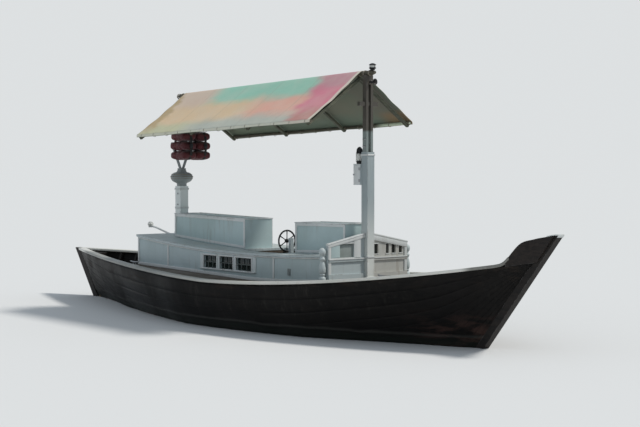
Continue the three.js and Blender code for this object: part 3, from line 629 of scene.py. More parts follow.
def make_canvas_look():
    """Faded canopy cloth: soft colour fields by the cloth's own lay, sewn cross seams, weave, grime, and
    painted shade on its underside.

    The lay runs 0 to 1 from the aft edge forward, and -1 to 1 from one eave over the ridge to the other."""
    gloss = {"Specular IOR Level": 0.2, "Sheen Weight": 0.15, "Sheen Roughness": 0.5}
    shader, place, weather = finish_of("canopy_canvas", gloss)
    spot = spot_on(shader)
    lie = spot["UV"]
    u, v, _ = parted(lie)
    drift = noise(stretched(lie, (3.0, 1.6, 1.0)), 1.7, 3, 0.5) - 0.5
    sway = noise(stretched(lie, (2.0, 2.6, 1.0)), 2.3, 4, 0.55) - 0.5
    along = u + sway * 0.13
    down = abs(v) + drift * 0.34
    low = mixed(ramp(along, 0.2, 0.4), (0.58, 0.58, 0.37), (0.47, 0.51, 0.45))
    middle = mixed(ramp(along, 0.48, 0.66), (0.78, 0.57, 0.35), (0.84, 0.43, 0.33))
    high = mixed(ramp(along, 0.18, 0.32), (0.72, 0.55, 0.43), (0.3, 0.64, 0.5))
    tanned = ramp(along + abs(v) * -0.05, 0.045, 0.005) * ramp(down, 0.92, 0.74)
    rosy = mixed(ramp(down, 0.55, 0.85), (0.76, 0.19, 0.29), (0.56, 0.24, 0.22))
    rosy = mixed(ramp(down, 0.38, 0.15), rosy, (0.6, 0.28, 0.33))
    faded = ramp(noise(place, 2.6, 6, 0.62), 0.38, 0.66)
    edge = sums("MAXIMUM", ramp(abs(v), 0.93, 0.945), ramp(u, 0.984, 0.988))
    seam_place = sums("PINGPONG", u * 5.0, 0.5) * 0.78
    seam = ramp(seam_place, 0.011, 0.009)
    stitch = ramp(abs(seam_place - 0.007), 0.0022, 0.0012) * ramp(sums("SINE", v * 420.0), 0.0, 0.4)
    # Painted shade: where the cloth's normal points down, its underside turns grey-olive.
    inner = ramp(parted(spot["Normal"])[2], 0.0, -0.2)
    patch = ramp(v, 0.66, 0.8) * ramp(u, 0.86, 0.93)
    colour = coated(
        mixed(ramp(down, 0.84, 0.64), low, middle),
        (ramp(down, 0.45, 0.25), high),
        (tanned, (0.5, 0.34, 0.14)),
        (ramp(along - abs(v) * 0.08, 0.77, 0.84), rosy),
        (faded * 0.2, (0.72, 0.68, 0.58)),
        (edge * 0.8, (0.8, 0.79, 0.66)),
        (stitch * 0.6, (0.3, 0.27, 0.22)),
        (seam * 0.16, (0.36, 0.3, 0.22)),
        (weather["Blotch"] * 0.22, (0.34, 0.29, 0.2)),
        # painted shade on the underside
        (inner * 0.9, (0.125, 0.17, 0.12)),
        (inner * patch * 0.55, (0.34, 0.19, 0.08)),
    )
    weave = use(WEAVE, Lay=lie, Threads=1400.0)
    height = weave["Height"] * 0.25 + weave["Slub"] * 0.5 + seam * 1.2
    dressed(shader, colour, mottled(weather, 0.78, 0.94), height, 0.0012)


def make_jacket_look():
    """Coated jacket cloth: dark red, rubbed paler in clouds, a fine ripstop grid of two crossed sines."""
    gloss = {"Specular IOR Level": 0.3, "Sheen Weight": 0.25, "Sheen Roughness": 0.4}
    shader, place, weather = finish_of("jacket_cloth", gloss)
    colour = coated(
        mixed(ramp(weather["Blotch"], 0.35, 0.65), (0.078, 0.015, 0.02), (0.135, 0.027, 0.03)),
        (weather["Dust"] * 0.5, (0.2, 0.14, 0.11)),
        (ramp(noise(place, 14.0, 5, 0.7), 0.58, 0.7) * 0.35, (0.24, 0.1, 0.075)),
    )
    grid = use(WEAVE, Lay=place, Threads=900.0)["Height"]
    dressed(shader, colour, mottled(weather, 0.55, 0.8), grid, 0.0006)


def make_line_look():
    """Laid line: strands as a slanting sine of place, greyed in clouds."""
    shader, place, weather = finish_of("lashing_line", {"Specular IOR Level": 0.2})
    strand = sums("SINE", dotted(place, (900.0, 700.0, 800.0)))
    colour = mixed(ramp(strand, -0.8, 0.8), (0.12, 0.1, 0.075), (0.42, 0.37, 0.29))
    colour = mixed(weather["Blotch"] * 0.5, colour, (0.2, 0.19, 0.17))
    dressed(shader, colour, mottled(weather, 0.8, 0.95), strand, 0.001)


def make_strap_look():
    """Webbing: ribs along the strap, a sine across its breadth, and a tone in clouds."""
    shader, place, weather = finish_of("black_strap", {"Specular IOR Level": 0.25})
    ribs = sums("SINE", parted(place)[1] * 2200.0)
    colour = mixed(ramp(weather["Blotch"], 0.35, 0.65), (0.02, 0.02, 0.022), (0.05, 0.048, 0.046))
    dressed(shader, colour, mottled(weather, 0.6, 0.85), ribs, 0.0005)


def make_glass_look(name, tint, rough, clear):
    """Pane or lens: tinted gloss with a veil of salt and dust that roughens it."""
    constants = {"IOR": 1.45, "Transmission Weight": clear, "Specular IOR Level": 0.6}
    shader, place, weather = finish_of(name, constants)
    veil = ramp(noise(place, 11.0, 5, 0.7), 0.45, 0.75)
    colour = mixed(veil * 0.12, tint, (0.3, 0.32, 0.3))
    roughness = ramp(veil * 0.7 + weather["Blotch"] * 0.3, 0.2, 0.8, rough, rough + 0.3)
    dressed(shader, colour, roughness, veil, 0.0004)


WINDOWS = [(-0.34, -0.04), (0.035, 0.335), (0.41, 0.75)]
WINDOW_LOW, WINDOW_HIGH = 0.708, 0.876
HAIR = 0.0005


def within(axis, low, high):
    """Two fades that keep a coat between two places along an axis."""
    return (axis, low - HAIR, low + HAIR), (axis, high + HAIR, high - HAIR)


SASHES = [
    ((0.03, 0.045, 0.04), *within("x", *window), *within("z", WINDOW_LOW, WINDOW_HIGH)) for window in WINDOWS
]
# Painted shade: the starboard rail cap darkens aft of x 1.9, fully so aft of x -0.9.
RAIL_PAINTED_SHADE = ((0.24, 0.245, 0.232), ("x", 1.9, -0.9), ("y", -0.2, -0.4))
# The rail caps turn dark grey at their fore ends, from x 4.4 to 4.54.
RAIL_FORE_GREY = ((0.165, 0.162, 0.145), ("x", 4.4, 4.54))
# Painted shade: the starboard half of the end boards turns darker and bluer.
END_PAINTED_SHADE = ((0.46, 0.53, 0.54), ("y", -0.04, -0.07))
# Painted shade: the fore post fades from white to grey-blue between z 0.8 and 1.75.
FORE_POST_PAINTED_SHADE = ((0.29, 0.345, 0.36), ("z", 0.8, 1.75))
# The fore bars turn dark brown above z 2.5.
BARS_DARK_TOP = ((0.06, 0.05, 0.038), ("z", 2.5, 2.54))
OLD_WOOD = (0.1, 0.08, 0.07)
SPAR_TONES = (0.055, 0.05, 0.036), (0.125, 0.115, 0.08)

timber("dark_timber", (0.006, 0.0048, 0.0042), (0.02, 0.0145, 0.0115), 0.6)
timber("bow_timber", (0.008, 0.006, 0.005), (0.024, 0.017, 0.0135), 0.64)
timber("deck_boards", (0.075, 0.056, 0.04), (0.175, 0.14, 0.105), 0.74, boards=("y", 0.108, 2.9))
timber("bulkhead_boards", (0.085, 0.062, 0.045), (0.19, 0.145, 0.105), 0.74, "z", ("y", 0.12, 3.0))
timber("spar_wood", *SPAR_TONES, 0.66)
timber("painted_spar", *SPAR_TONES, 0.66, coat=((0.6, 0.68, 0.52), 1.5, 1.7))
timber("rafter_wood", (0.062, 0.066, 0.047), (0.125, 0.13, 0.09), 0.7, "y")
# The trunk sides' white is darker and bluer than the other whites: painted shade, cooled by the sky.
paint("white_side_painted_shade", (0.49, 0.585, 0.605), 0.5, 0.4, 0.4)
paint("white_bench", (0.55, 0.62, 0.635), 0.5, 0.6, 0.3, boards=("y", 0.116, 3.3))
paint("white_upright", (0.55, 0.615, 0.63), 0.48, 0.45, 0.5, "z")
# The end boards' warm cream white is painted sunlight. Their starboard half gets painted shade.
paint("white_end_sun_and_shade", (0.57, 0.565, 0.535), 0.5, 0.5, 0.4, "y", coats=[END_PAINTED_SHADE])
# The fore post's bright white low down is painted light. Its grey-blue top is painted shade.
paint("fore_post_light_and_shade", (0.8, 0.82, 0.79), 0.5, 0.5, 0.35, "z", coats=[FORE_POST_PAINTED_SHADE])
# The aft post is whiter than the other paint: painted light that offsets the canopy's shade.
paint("aft_post_painted_light", (0.84, 0.88, 0.88), 0.48, 0.4, 0.4, "z")
paint("bars_paint", (0.23, 0.27, 0.265), 0.5, 0.6, 0.5, "z", OLD_WOOD, coats=[BARS_DARK_TOP])
# Grey in the end board's recess: painted shade.
paint("recess_painted_shade", (0.3, 0.34, 0.33), 0.55, 0.3, 0.5, "y")
# Near black behind the slots: painted shade.
paint("slot_painted_shade", (0.022, 0.026, 0.022), 0.55, 0.2, 0.3, "z", (0.05, 0.04, 0.03))
paint("white_trim", (0.7, 0.72, 0.72), 0.46, 0.5, 0.3)
paint("pale_panel", (0.48, 0.6, 0.61), 0.52, 0.35, 0.4)
paint("grey_paint", (0.3, 0.33, 0.335), 0.5, 0.6, 0.6, "z", OLD_WOOD)
paint("rail_white", (0.78, 0.77, 0.72), 0.42, 0.6, 0.2, boards=("y", 40.0, 2.6), coats=[RAIL_PAINTED_SHADE, RAIL_FORE_GREY])
paint("window_paint", (0.64, 0.69, 0.695), 0.46, 0.5, 0.3, coats=SASHES)
paint("lamp_paint", (0.66, 0.68, 0.68), 0.35, 0.35, 0.5, under=(0.08, 0.07, 0.06))
metal("iron", (0.09, 0.088, 0.085), (0.1, 0.045, 0.022), 0.42, 0.9, 0.6)
metal("bronze", (0.36, 0.22, 0.09), (0.09, 0.13, 0.1), 0.34, 0.95, 0.5)
metal("galvanised", (0.38, 0.39, 0.4), (0.2, 0.18, 0.16), 0.4, 0.85, 0.4)
metal("black_metal", (0.014, 0.015, 0.017), (0.05, 0.042, 0.036), 0.38, 0.4, 0.4)
metal("helm_black", (0.012, 0.012, 0.013), (0.045, 0.038, 0.03), 0.34, 0.15, 0.35)
make_hull_look()
make_canvas_look()
make_jacket_look()
make_line_look()
make_strap_look()
make_glass_look("window_pane", (0.006, 0.014, 0.012), 0.1, 0.0)
make_glass_look("lamp_glass", (0.75, 0.76, 0.72), 0.1, 0.35)

NODE_LOOKS = {
    "dark_timber": ["keel", "stem_post", "stern_post", "stern_breasthook"],
    "deck_boards": ["main_deck", "stern_well_floor", "pit_box"],
    "bulkhead_boards": ["well_bulkhead"],
    "white_side_painted_shade": ["trunk_side_starboard", "trunk_side_port"],
    "window_paint": ["window_panel_starboard", "window_panel_port"],
    "white_bench": ["bench_top"],
    "white_end_sun_and_shade": ["end_board_starboard", "end_board_port", "trunk_end_aft"],
    "pale_panel": ["backrest_aft", "backrest_fore"],
    "white_upright": ["steering_pedestal", "post_locker"],
    "fore_post_light_and_shade": ["canopy_post_fore"],
    "aft_post_painted_light": ["canopy_post_aft"],
    "bars_paint": ["canopy_bars_fore"],
    "grey_paint": ["canopy_fork_aft"],
    "rafter_wood": ["rafter_pair_1", "rafter_pair_2", "rafter_pair_3", "rafter_pair_4"],
    "iron": ["engine_block", "rudder_blade", "tiller_arm"],
    "bronze": ["stern_tube", "rudder_tube", "propeller_shaft"],
}
for look_name, names in NODE_LOOKS.items():
    for node_name in names:
        nodes[node_name].material_slots[0].material = LOOKS[look_name]


# Hull.
STRAKES = 11
SEAM_WIDTH, SEAM_DEPTH = 0.004, 0.003
PLANK = 0.034
CAP_WIDTH = 0.12


def make_hull_skin():
    """The planked skin. The section's share is cut into strakes, and a narrow groove runs between strakes
    along equal shares."""
    runs = (-4.78, -3.6, 22), (-3.6, 3.9, 84), (3.9, 5.116, 24)
    x = np.unique(np.concatenate([np.linspace(*run) for run in runs]))
    depth = rail_top(x) - RAIL_CAP - eased(x, CENTRE_X, CENTRE_Z)
    groove = np.minimum(SEAM_WIDTH / (np.hypot(half_breadth(x), depth) * 1.1), 0.02)[:, None]
    marks = np.arange(1, STRAKES) / STRAKES
    quarters = (np.arange(STRAKES)[:, None] + np.array([0.25, 0.5, 0.75])).ravel() / STRAKES
    plain = np.tile(np.r_[0, 1, quarters], (len(x), 1))
    shares = np.hstack([plain, marks - groove, marks + groove, marks + 0 * groove])
    order = np.argsort(shares[len(x) // 2])
    s, sunk = shares[:, order], order >= shares.shape[1] - len(marks)
    side = spread(x[:, None], *section(x, s))
    normal = unit(np.cross(np.gradient(side, axis=1), np.gradient(side, axis=0)))
    side = side - normal * np.sign(normal[..., 1:2] + 1e-9) * sunk[:, None] * SEAM_DEPTH
    side[:, 0, 1] = 0
    lie = np.stack([side[..., 0], s * STRAKES], axis=-1)
    grid = np.concatenate([side[:, :0:-1] * (1, -1, 1), side], axis=1)
    lie = np.concatenate([lie[:, :0:-1] + (1.3, 20), lie], axis=1)
    grid = np.concatenate([grid[:1] * (1, 0, 1), grid, grid[-1:] * (1, 0, 1)])
    lie = np.concatenate([lie[:1], lie, lie[-1:]])
    skin = Form(grid, columns_close=False, uv=lie)
    thickened(skin.made("hull_skin", "hull_planks", "hull_wood", "hull_planking"), PLANK, -1)


def make_rail_caps():
    """Rail caps in upright slices that follow the rail; the fore end sweeps up the bow head's edge."""
    x = np.r_[np.linspace(-4.76, -3.8, 14), np.linspace(-3.7, 4.7, 86), np.linspace(4.74, 4.9, 12)]
    outer = half_breadth(x) + 0.022
    inner = np.maximum(outer - CAP_WIDTH, 0.0006)
    curl = eased(x, [4.76, 4.82, 4.86, 4.9], [0, 0.006, 0.028, 0.078], 0.02)
    over, up = (rounded(CAP_WIDTH, RAIL_CAP, 0.009, 4) / (CAP_WIDTH, RAIL_CAP)).T
    y = inner[:, None] + (outer - inner)[:, None] * (over + 0.5)
    z = (rail_top(x) - RAIL_CAP / 2 + curl)[:, None] + up * RAIL_CAP
    for side, sign in SIDES:
        cap = Form(capped(spread(x[:, None], sign * y, z)))
        cap.made(f"rail_{side}", "rail_white", "rail_paint", f"rail_cap_{side}")


BOW_AFT = 4.86
STEM_FOOT, STEM_RAKE = 4.31, 0.84
BOW_X = [4.86, 4.93, 5.0, 5.06, 5.2, 5.4]
BOW_TOP = [1.03, 1.14, 1.235, 1.265, 1.298, 1.33]


def make_bow_head():
    """The raised bow head. Share u runs from its aft edge to the raked stem line, share v from rail to top
    edge; x follows u to the stem line at its own height, found in a few rounds. Both sides join over a
    rounded top."""
    u = np.linspace(0, 1, 26)[:, None]
    v = np.r_[np.linspace(0, 0.94, 10), 0.975, 1.0][None]
    x = BOW_AFT + u * np.full_like(v, 0.5)
    for _ in range(12):
        bottom = rail_top(x) - RAIL_CAP
        z = bottom + (eased(x, BOW_X, BOW_TOP, 0.03) - bottom) * v
        x = BOW_AFT + u * (STEM_FOOT + STEM_RAKE * z - BOW_AFT)
    half = np.maximum(half_breadth(x), 0.062) + 0.014 * v - 0.008 * np.clip((v - 0.94) / 0.06, 0, 1) ** 2
    grooves = 0.002 * sum(np.exp(-(((v - mark) / 0.02) ** 2)) for mark in (0.3, 0.62))
    side = spread(x, half - grooves, z)
    ring = np.concatenate([side, side[:, ::-1] * (1, -1, 1)], axis=1)
    Form(capped(ring)).made("bow_cheeks", "bow_timber", "hull_wood", "bow_head")
    Form(
        slat((5.335, 0, 1.323), (5.425, 0, 1.3415), 0.152, 0.01),
        slat((5.412, 0, 1.3415), (5.485, 0, 1.3415), 0.1, 0.011),
        slat((5.4825, 0, 1.337), (5.465, 0, 1.3165), 0.1, 0.007, up=(1, 0, 0)),
    ).made("stem_cap", "white_trim", "rail_paint")


RIB = 0.045
WELL_FLOOR = 0.33


def make_ribs():
    """Ribs in the open stern well: square timbers bent to the planking's inside between floor and rail."""
    ribs = Form()
    for x in np.arange(-4.0, -2.1, 0.29):
        out, z = (part[0] for part in section(np.array([x]), np.linspace(0.4, 1.0, 40)))
        seen = (z > WELL_FLOOR) & (z < rail_top(x) - RAIL_CAP - 0.004)
        ribs.add(carried(spread(x, out - 0.06, z)[seen], rounded(RIB, RIB, 0.005), (1, 0, 0)))
    ribs.mirrored().made("well_ribs", "dark_timber", "hull_wood")


# Trunk, bench and boards.
TRUNK_HALF = 0.65
END_FACE = 2.302
FRAME_WIDTH = 0.02


def make_trunk_trim():
    """Mouldings in upright slices along the trunk, frames and panes at its windows, a louvred vent."""
    x = np.linspace(-2.028, 2.26, 60)
    face = TRUNK_HALF + 0.012
    trim = Form(
        moulding(x, TRUNK_HALF + 0.006, deck_top(x) + 0.024, 0.013, 0.044),
        moulding(x, TRUNK_HALF + 0.0065, seat_top(x) - 0.0395, 0.013, 0.016),
    )
    stiles = [
        ((at - 0.018, deck_top(at) + 0.047), (at + 0.018, seat_top(at) - 0.049))
        for at in (-2.012, -1.24, 1.21, 2.245)
    ]
    trim.add(*plates(1, TRUNK_HALF, TRUNK_HALF + 0.01, stiles))
    for aft, fore in WINDOWS:
        wide_aft, wide_fore = aft - FRAME_WIDTH, fore + FRAME_WIDTH
        sides = (
            ((wide_aft, WINDOW_HIGH), (wide_fore, WINDOW_HIGH + FRAME_WIDTH)),
            ((wide_aft, WINDOW_LOW - 0.016), (wide_fore, WINDOW_LOW)),
            ((wide_aft, WINDOW_LOW), (aft, WINDOW_HIGH)),
            ((fore, WINDOW_LOW), (wide_fore, WINDOW_HIGH)),
        )
        trim.add(*plates(1, face, TRUNK_HALF + 0.023, sides, 0.003))
    trim.add(board((-0.42, face, 0.69), (0.83, TRUNK_HALF + 0.034, 0.703)))
    trim.mirrored().made("trunk_trim", "white_trim", "white_paint")
    panes = [((aft + HAIR, WINDOW_LOW + HAIR), (fore - HAIR, WINDOW_HIGH - HAIR)) for aft, fore in WINDOWS]
    glazing = Form(*plates(1, TRUNK_HALF - 0.023, TRUNK_HALF - 0.018, panes, 0.001))
    glazing.mirrored().made("window_panes", "window_pane", "black_fittings")
    vent = Form(board((1.5, TRUNK_HALF, 0.7), (1.56, TRUNK_HALF + 0.004, 0.79), 0.002))
    for z in np.arange(0.708, 0.786, 0.012):
        start, end = (1.503, TRUNK_HALF + 0.0075, z), (1.557, TRUNK_HALF + 0.0075, z)
        vent.add(slat(start, end, 0.011, 0.003, up=(0, 0.7, 0.7), ease=0.001))
    vent.mirrored().made("trunk_vents", "grey_paint", "black_fittings")


# Each backrest: its aft and fore end, the top at each, and half its breadth.
BACKRESTS = (-1.7, 0.02, 1.391, 1.358, 0.23), (1.12, 2.13, 1.345, 1.356, 0.225)
RIM = 0.036


def make_backrest_trim():
    """Rims of flat battens round both faces of the backrests, and a rounded capping along their tops."""
    trim = Form()
    for aft, fore, top_aft, top_fore, half in BACKRESTS:
        y = half + 0.0045
        feet = seat_top(np.array([aft, fore])) + 0.022
        tops = np.array([top_aft, top_fore]) - RIM / 2
        for ends in (tops, feet):
            trim.add(slat((aft + 0.002, y, ends[0]), (fore - 0.002, y, ends[1]), 0.009, RIM, ease=0.003))
        stiles = ((aft, feet[0]), (aft + RIM, tops[0])), ((fore - RIM, feet[1]), (fore, tops[1]))
        trim.add(*plates(1, half, half + 0.0088, stiles, 0.003))
        start = (aft - 0.006, half - 0.012, top_aft + 0.004)
        trim.add(slat(start, (fore + 0.006, half - 0.012, top_fore + 0.004), 0.05, 0.014, ease=0.006))
    trim.mirrored()
    for aft, fore, top_aft, top_fore, half in BACKRESTS:
        reach = half - 0.014
        for x, top in ((aft, top_aft), (fore, top_fore)):
            trim.add(board((x - 0.012, -reach, top - 0.003), (x + 0.012, reach, top + 0.0105), 0.005))
    trim.made("backrest_rims", "white_trim", "white_paint")


END_SLOTS = [(0.095, 0.17), (0.3, 0.35), (0.395, 0.465), (0.52, 0.575)]


def gable_top(y):
    """Top edge of the fore gable at breadth y: 1.25 m in the middle, falling 0.13 m to the trunk's side."""
    return 1.25 - 0.13 * y / TRUNK_HALF


def make_end_board_trim():
    """Capping on the gable, corner stiles, ledge noses and the beads of the slots and the recess."""
    trim = Form()
    inner, stile, side = 0.058, TRUNK_HALF - 0.044, TRUNK_HALF
    back = END_FACE - 0.002
    for _, sign in SIDES:
        start = (END_FACE - 0.006, sign * inner, gable_top(inner) + 0.003)
        end = (END_FACE - 0.006, sign * (side + 0.006), gable_top(side) + 0.0035)
        trim.add(slat(start, end, 0.052, 0.022, ease=0.008))
        drop = 0.034 if sign > 0 else 0.018
        start = (END_FACE + 0.006, sign * inner, gable_top(inner) - 0.007 - drop)
        end = (END_FACE + 0.006, sign * (side - 0.0015), gable_top(side) - 0.001 - drop)
        trim.add(slat(start, end, 0.019, 2 * drop))
        stiles = [((sign * stile, low), (sign * side, high)) for low, high in ((0.94, 1.113), (0.75, 0.906))]
        trim.add(*plates(0, back, END_FACE + 0.012, stiles))
        trim.add(board((END_FACE + 0.016, sign * inner, 0.93), (END_FACE + 0.026, sign * side, 0.946)))
    beads = (
        ((-0.235, 0.95), (-0.128, 1.2)), ((-stile, 1.125), (-0.235, 1.14)),
        ((-stile, 0.941), (-0.235, 0.956)),
    )
    trim.add(*plates(0, back, END_FACE + 0.009, beads, 0.003))
    slot_beads = [
        ((start - 0.008, low), (end + 0.008, high))
        for start, end in END_SLOTS
        for low, high in ((1.108, 1.118), (0.975, 0.985))
    ]
    trim.add(*plates(0, back, END_FACE + 0.006, slot_beads, 0.002))
    trim.made("end_board_trim", "white_trim", "white_paint")
    # The sunken recess is painted grey: painted shade.
    recess = board((END_FACE - 0.0198, -0.4596, 0.9554), (END_FACE - 0.0168, -0.2354, 1.1246), 0.001)
    Form(recess).made("end_board_recess", "recess_painted_shade", "white_paint")
    panel = board((END_FACE - 0.001, -stile + 0.002, 0.958), (END_FACE + 0.01, -0.464, 1.112))
    Form(panel).made("end_board_panel", "pale_panel", "white_paint")
    # Dark boards close behind the slots: painted shade in place of the shade behind real slots.
    slots = [((start + 0.0004, 0.9854), (end - 0.0004, 1.1076)) for start, end in END_SLOTS]
    backs = Form(*plates(0, END_FACE - 0.0278, END_FACE - 0.0248, slots, 0.001))
    backs.made("end_board_slot_shade", "slot_painted_shade", "black_fittings")


# Profiles for turning: radius and height of each point.
NEWEL = [
    (0, 0), (0.042, 0), (0.044, 0.006), (0.044, 0.064), (0.042, 0.07), (0.031, 0.078), (0.029, 0.092),
    (0.036, 0.1), (0.036, 0.106), (0.031, 0.112), (0.039, 0.13), (0.0445, 0.17), (0.042, 0.2), (0.034, 0.24),
    (0.027, 0.27), (0.036, 0.282), (0.038, 0.29), (0.038, 0.304), (0.028, 0.318), (0.025, 0.328),
    (0.028, 0.338), (0.04, 0.356), (0.0455, 0.378), (0.044, 0.4), (0.034, 0.42), (0.016, 0.433), (0, 0.436),
]
POST_HEAD = [
    (0, 0), (0.07, 0), (0.074, 0.01), (0.071, 0.03), (0.076, 0.04), (0.1, 0.052), (0.138, 0.076),
    (0.156, 0.1), (0.164, 0.128), (0.158, 0.152), (0.14, 0.178), (0.11, 0.196), (0.076, 0.208),
    (0.07, 0.216), (0.064, 0.232), (0.058, 0.239), (0, 0.24),
]
LAMP_SHELL = [
    (0, 0), (0.037, 0), (0.038, 0.006), (0.04, 0.03), (0.046, 0.036), (0.046, 0.044), (0.03, 0.046),
    (0, 0.046),
]
LAMP_HOOD = [
    (0, 0.138), (0.046, 0.138), (0.0465, 0.144), (0.041, 0.152), (0.038, 0.186), (0.033, 0.198),
    (0.02, 0.214), (0.009, 0.222), (0, 0.2225),
]
LAMP_GLASS = [(0, 0.0455), (0.034, 0.046), (0.0395, 0.056), (0.0395, 0.128), (0.034, 0.138), (0, 0.1385)]
MAST_BASE = [
    (0, -0.003), (0.03, -0.003), (0.03, 0.011), (0.036, 0.014), (0.045, 0.02), (0.045, 0.03), (0, 0.03),
]
MAST_TOP = [(0, 0.06), (0.045, 0.06), (0.046, 0.066), (0.03, 0.078), (0.012, 0.084), (0, 0.085)]
MAST_LENS = [(0, 0.028), (0.034, 0.029), (0.0385, 0.036), (0.0385, 0.054), (0.034, 0.061), (0, 0.0615)]
HORN_BELL = [
    (0, 0), (0.014, 0), (0.014, 0.03), (0.02, 0.036), (0.02, 0.042), (0.012, 0.047), (0.0125, 0.07),
    (0.018, 0.084), (0.0285, 0.094), (0.039, 0.0985), (0.04, 0.1), (0.036, 0.1), (0.025, 0.092),
    (0.012, 0.08), (0.006, 0.06), (0, 0.058),
]
STERN_CUP = [(0, 0), (0.03, 0), (0.034, 0.004), (0.034, 0.014), (0.02, 0.018), (0, 0.018)]
STERN_LID = [(0, 0.07), (0.03, 0.07), (0.034, 0.074), (0.026, 0.084), (0.01, 0.09), (0, 0.09)]
STERN_GLOBE = [
    (0, 0.017), (0.026, 0.019), (0.042, 0.034), (0.0445, 0.046), (0.042, 0.057), (0.03, 0.071), (0, 0.072),
]
BOLT = [(0, 0), (0.013, 0), (0.013, 0.002), (0.009, 0.003), (0.009, 0.009), (0.006, 0.011), (0, 0.0115)]
HINGE_PIN = [(0, 0), (0.004, 0), (0.004, 0.036), (0, 0.036)]
KNOB = [(0, 0), (0.006, 0), (0.009, 0.012), (0.006, 0.018), (0, 0.019)]
SCREW_HEAD = [(0, 0), (0.006, 0), (0.005, 0.003), (0, 0.004)]
CLEAT_FOOT = [(0, 0), (0.02, 0), (0.02, 0.004), (0.012, 0.012), (0.011, 0.05), (0, 0.05)]
WHEEL_HUB = [
    (0, -0.03), (0.012, -0.029), (0.024, -0.022), (0.0265, -0.01), (0.0265, 0.01), (0.02, 0.022),
    (0.0138, 0.026), (0.0138, 0.09), (0, 0.0915),
]
SCREW_HUB = [
    (0, -0.06), (0.012, -0.058), (0.024, -0.045), (0.034, -0.02), (0.041, 0.01), (0.0415, 0.0415),
    (0, 0.0417),
]


NEWEL_X = 2.252


def make_newels():
    """Turned posts at the trunk's fore corners."""
    for side, sign in SIDES:
        foot = (NEWEL_X, sign * (TRUNK_HALF + 0.0463), deck_top(NEWEL_X) + 0.0005)
        newel = Form(turned(fair(NEWEL, 90), foot, sides=36))
        newel.made(f"newel_{side}", "white_upright", "white_paint", f"newel_post_{side}", sharp=50)


CLEATS = ((-1.9, 0.8), (3.3, 0.62))


def make_cleats():
    """Mooring cleats on the side decks: a fair horned bar on two short feet, mirrored to port."""
    cleats = Form()
    size = np.interp(np.linspace(-1, 1, 17), [-1, -0.9, 0, 0.9, 1], [0.45, 0.75, 1, 0.75, 0.45])
    for x, y in CLEATS:
        z = deck_top(x)
        horns = ((-0.11, 0.062), (-0.05, 0.052), (0.05, 0.052), (0.11, 0.062))
        bar = fair([(x + along, y, z + up) for along, up in horns], 17)
        cleats.add(carried(bar, circle(14) * 0.013, size=size))
        cleats.add(*(turned(CLEAT_FOOT, (x + foot, y, z), sides=16) for foot in (-0.032, 0.032)))
    cleats.mirrored().made("mooring_cleats", "galvanised", "iron")


# Posts, lamps and fittings.
FORE_FACE = 2.2403
FORE_HALF, AFT_HALF = 0.057, 0.068
FORE_POST_X = FORE_FACE + FORE_HALF
FORE_BARS_X = FORE_FACE + 0.055
AFT_POST_X = -1.87


def make_collars():
    """Collars round both posts. The fore post's stop short aft, where the gable and the bench meet it."""
    trim = Form()
    deck, seat = deck_top(FORE_POST_X), seat_top(AFT_POST_X)
    for aft, low, high, out in (
        (END_FACE + 0.0185, deck, deck + 0.05, 0.012),
        (END_FACE + 0.0005, 0.94, 0.962, 0.007),
        (FORE_FACE - 0.008, 2.215, 2.235, 0.008),
    ):
        edge = FORE_HALF + out
        for _, sign in SIDES:
            trim.add(board((aft, sign * FORE_HALF, low), (FORE_POST_X + edge, sign * edge, high)))
        trim.add(board((FORE_POST_X + FORE_HALF, -FORE_HALF, low), (FORE_POST_X + edge, FORE_HALF, high)))
    for low, high, out in ((seat + 0.006, seat + 0.05, 0.012), (1.46, 1.485, 0.006), (1.735, 1.762, 0.01)):
        edge = AFT_HALF + out
        for _, sign in SIDES:
            trim.add(board((AFT_POST_X - edge, sign * AFT_HALF, low), (AFT_POST_X + edge, sign * edge, high)))
            near, far = AFT_POST_X + sign * AFT_HALF, AFT_POST_X + sign * edge
            trim.add(board((near, -AFT_HALF, low), (far, AFT_HALF, high)))
    trim.made("post_collars", "white_trim", "white_paint")


def make_ironwork():
    """The locker's door and lid, its hinges and knob, and the bolts through both posts."""
    Form(
        board((FORE_FACE - 0.128, -0.0795, 1.858), (FORE_FACE - 0.006, -0.0748, 2.097), 0.002),
        board((FORE_FACE - 0.138, -0.08, 2.1045), (FORE_FACE - 0.002, 0.08, 2.1125), 0.003),
    ).made("locker_door", "white_trim", "white_paint")
    metalwork = Form()
    for z in (1.905, 2.05):
        low, high = (FORE_FACE - 0.03, -0.083, z - 0.018), (FORE_FACE - 0.004, -0.0793, z + 0.018)
        metalwork.add(board(low, high, 0.001))
        metalwork.add(turned(HINGE_PIN, (FORE_FACE - 0.005, -0.082, z - 0.018), sides=10))
    metalwork.add(turned(KNOB, (FORE_FACE - 0.115, -0.079, 1.978), (0, -1, 0), 14))
    bolts = [(FORE_FACE + along, 0.056, z) for along in (0.035, 0.07) for z in (2.33, 2.42)]
    bolts += [(AFT_POST_X, AFT_HALF, z) for z in (1.52, 1.68)]
    for x, y, z in bolts:
        metalwork.add(*(turned(BOLT, (x, sign * y, z), (0, sign, 0), 12) for _, sign in SIDES))
    metalwork.made("post_ironwork", "galvanised", "iron")


def make_post_head():
    """The turned head on the aft post, with three rings of line about its swell."""
    head = Form(turned(fair(POST_HEAD, 70), (AFT_POST_X, 0, 1.7903), sides=48))
    head.made("post_head", "grey_paint", "white_paint", "post_head_aft", sharp=50)
    rings = Form()
    for z, radius in ((1.9, 0.158), (1.93, 0.1665), (1.96, 0.15)):
        ring = (radius, z) + 0.004 * circle(10)
        rings.add(turned(ring, (AFT_POST_X, 0, 0), sides=48), rows_close=True)
    rings.made("post_head_rings", "lashing_line", "white_paint")


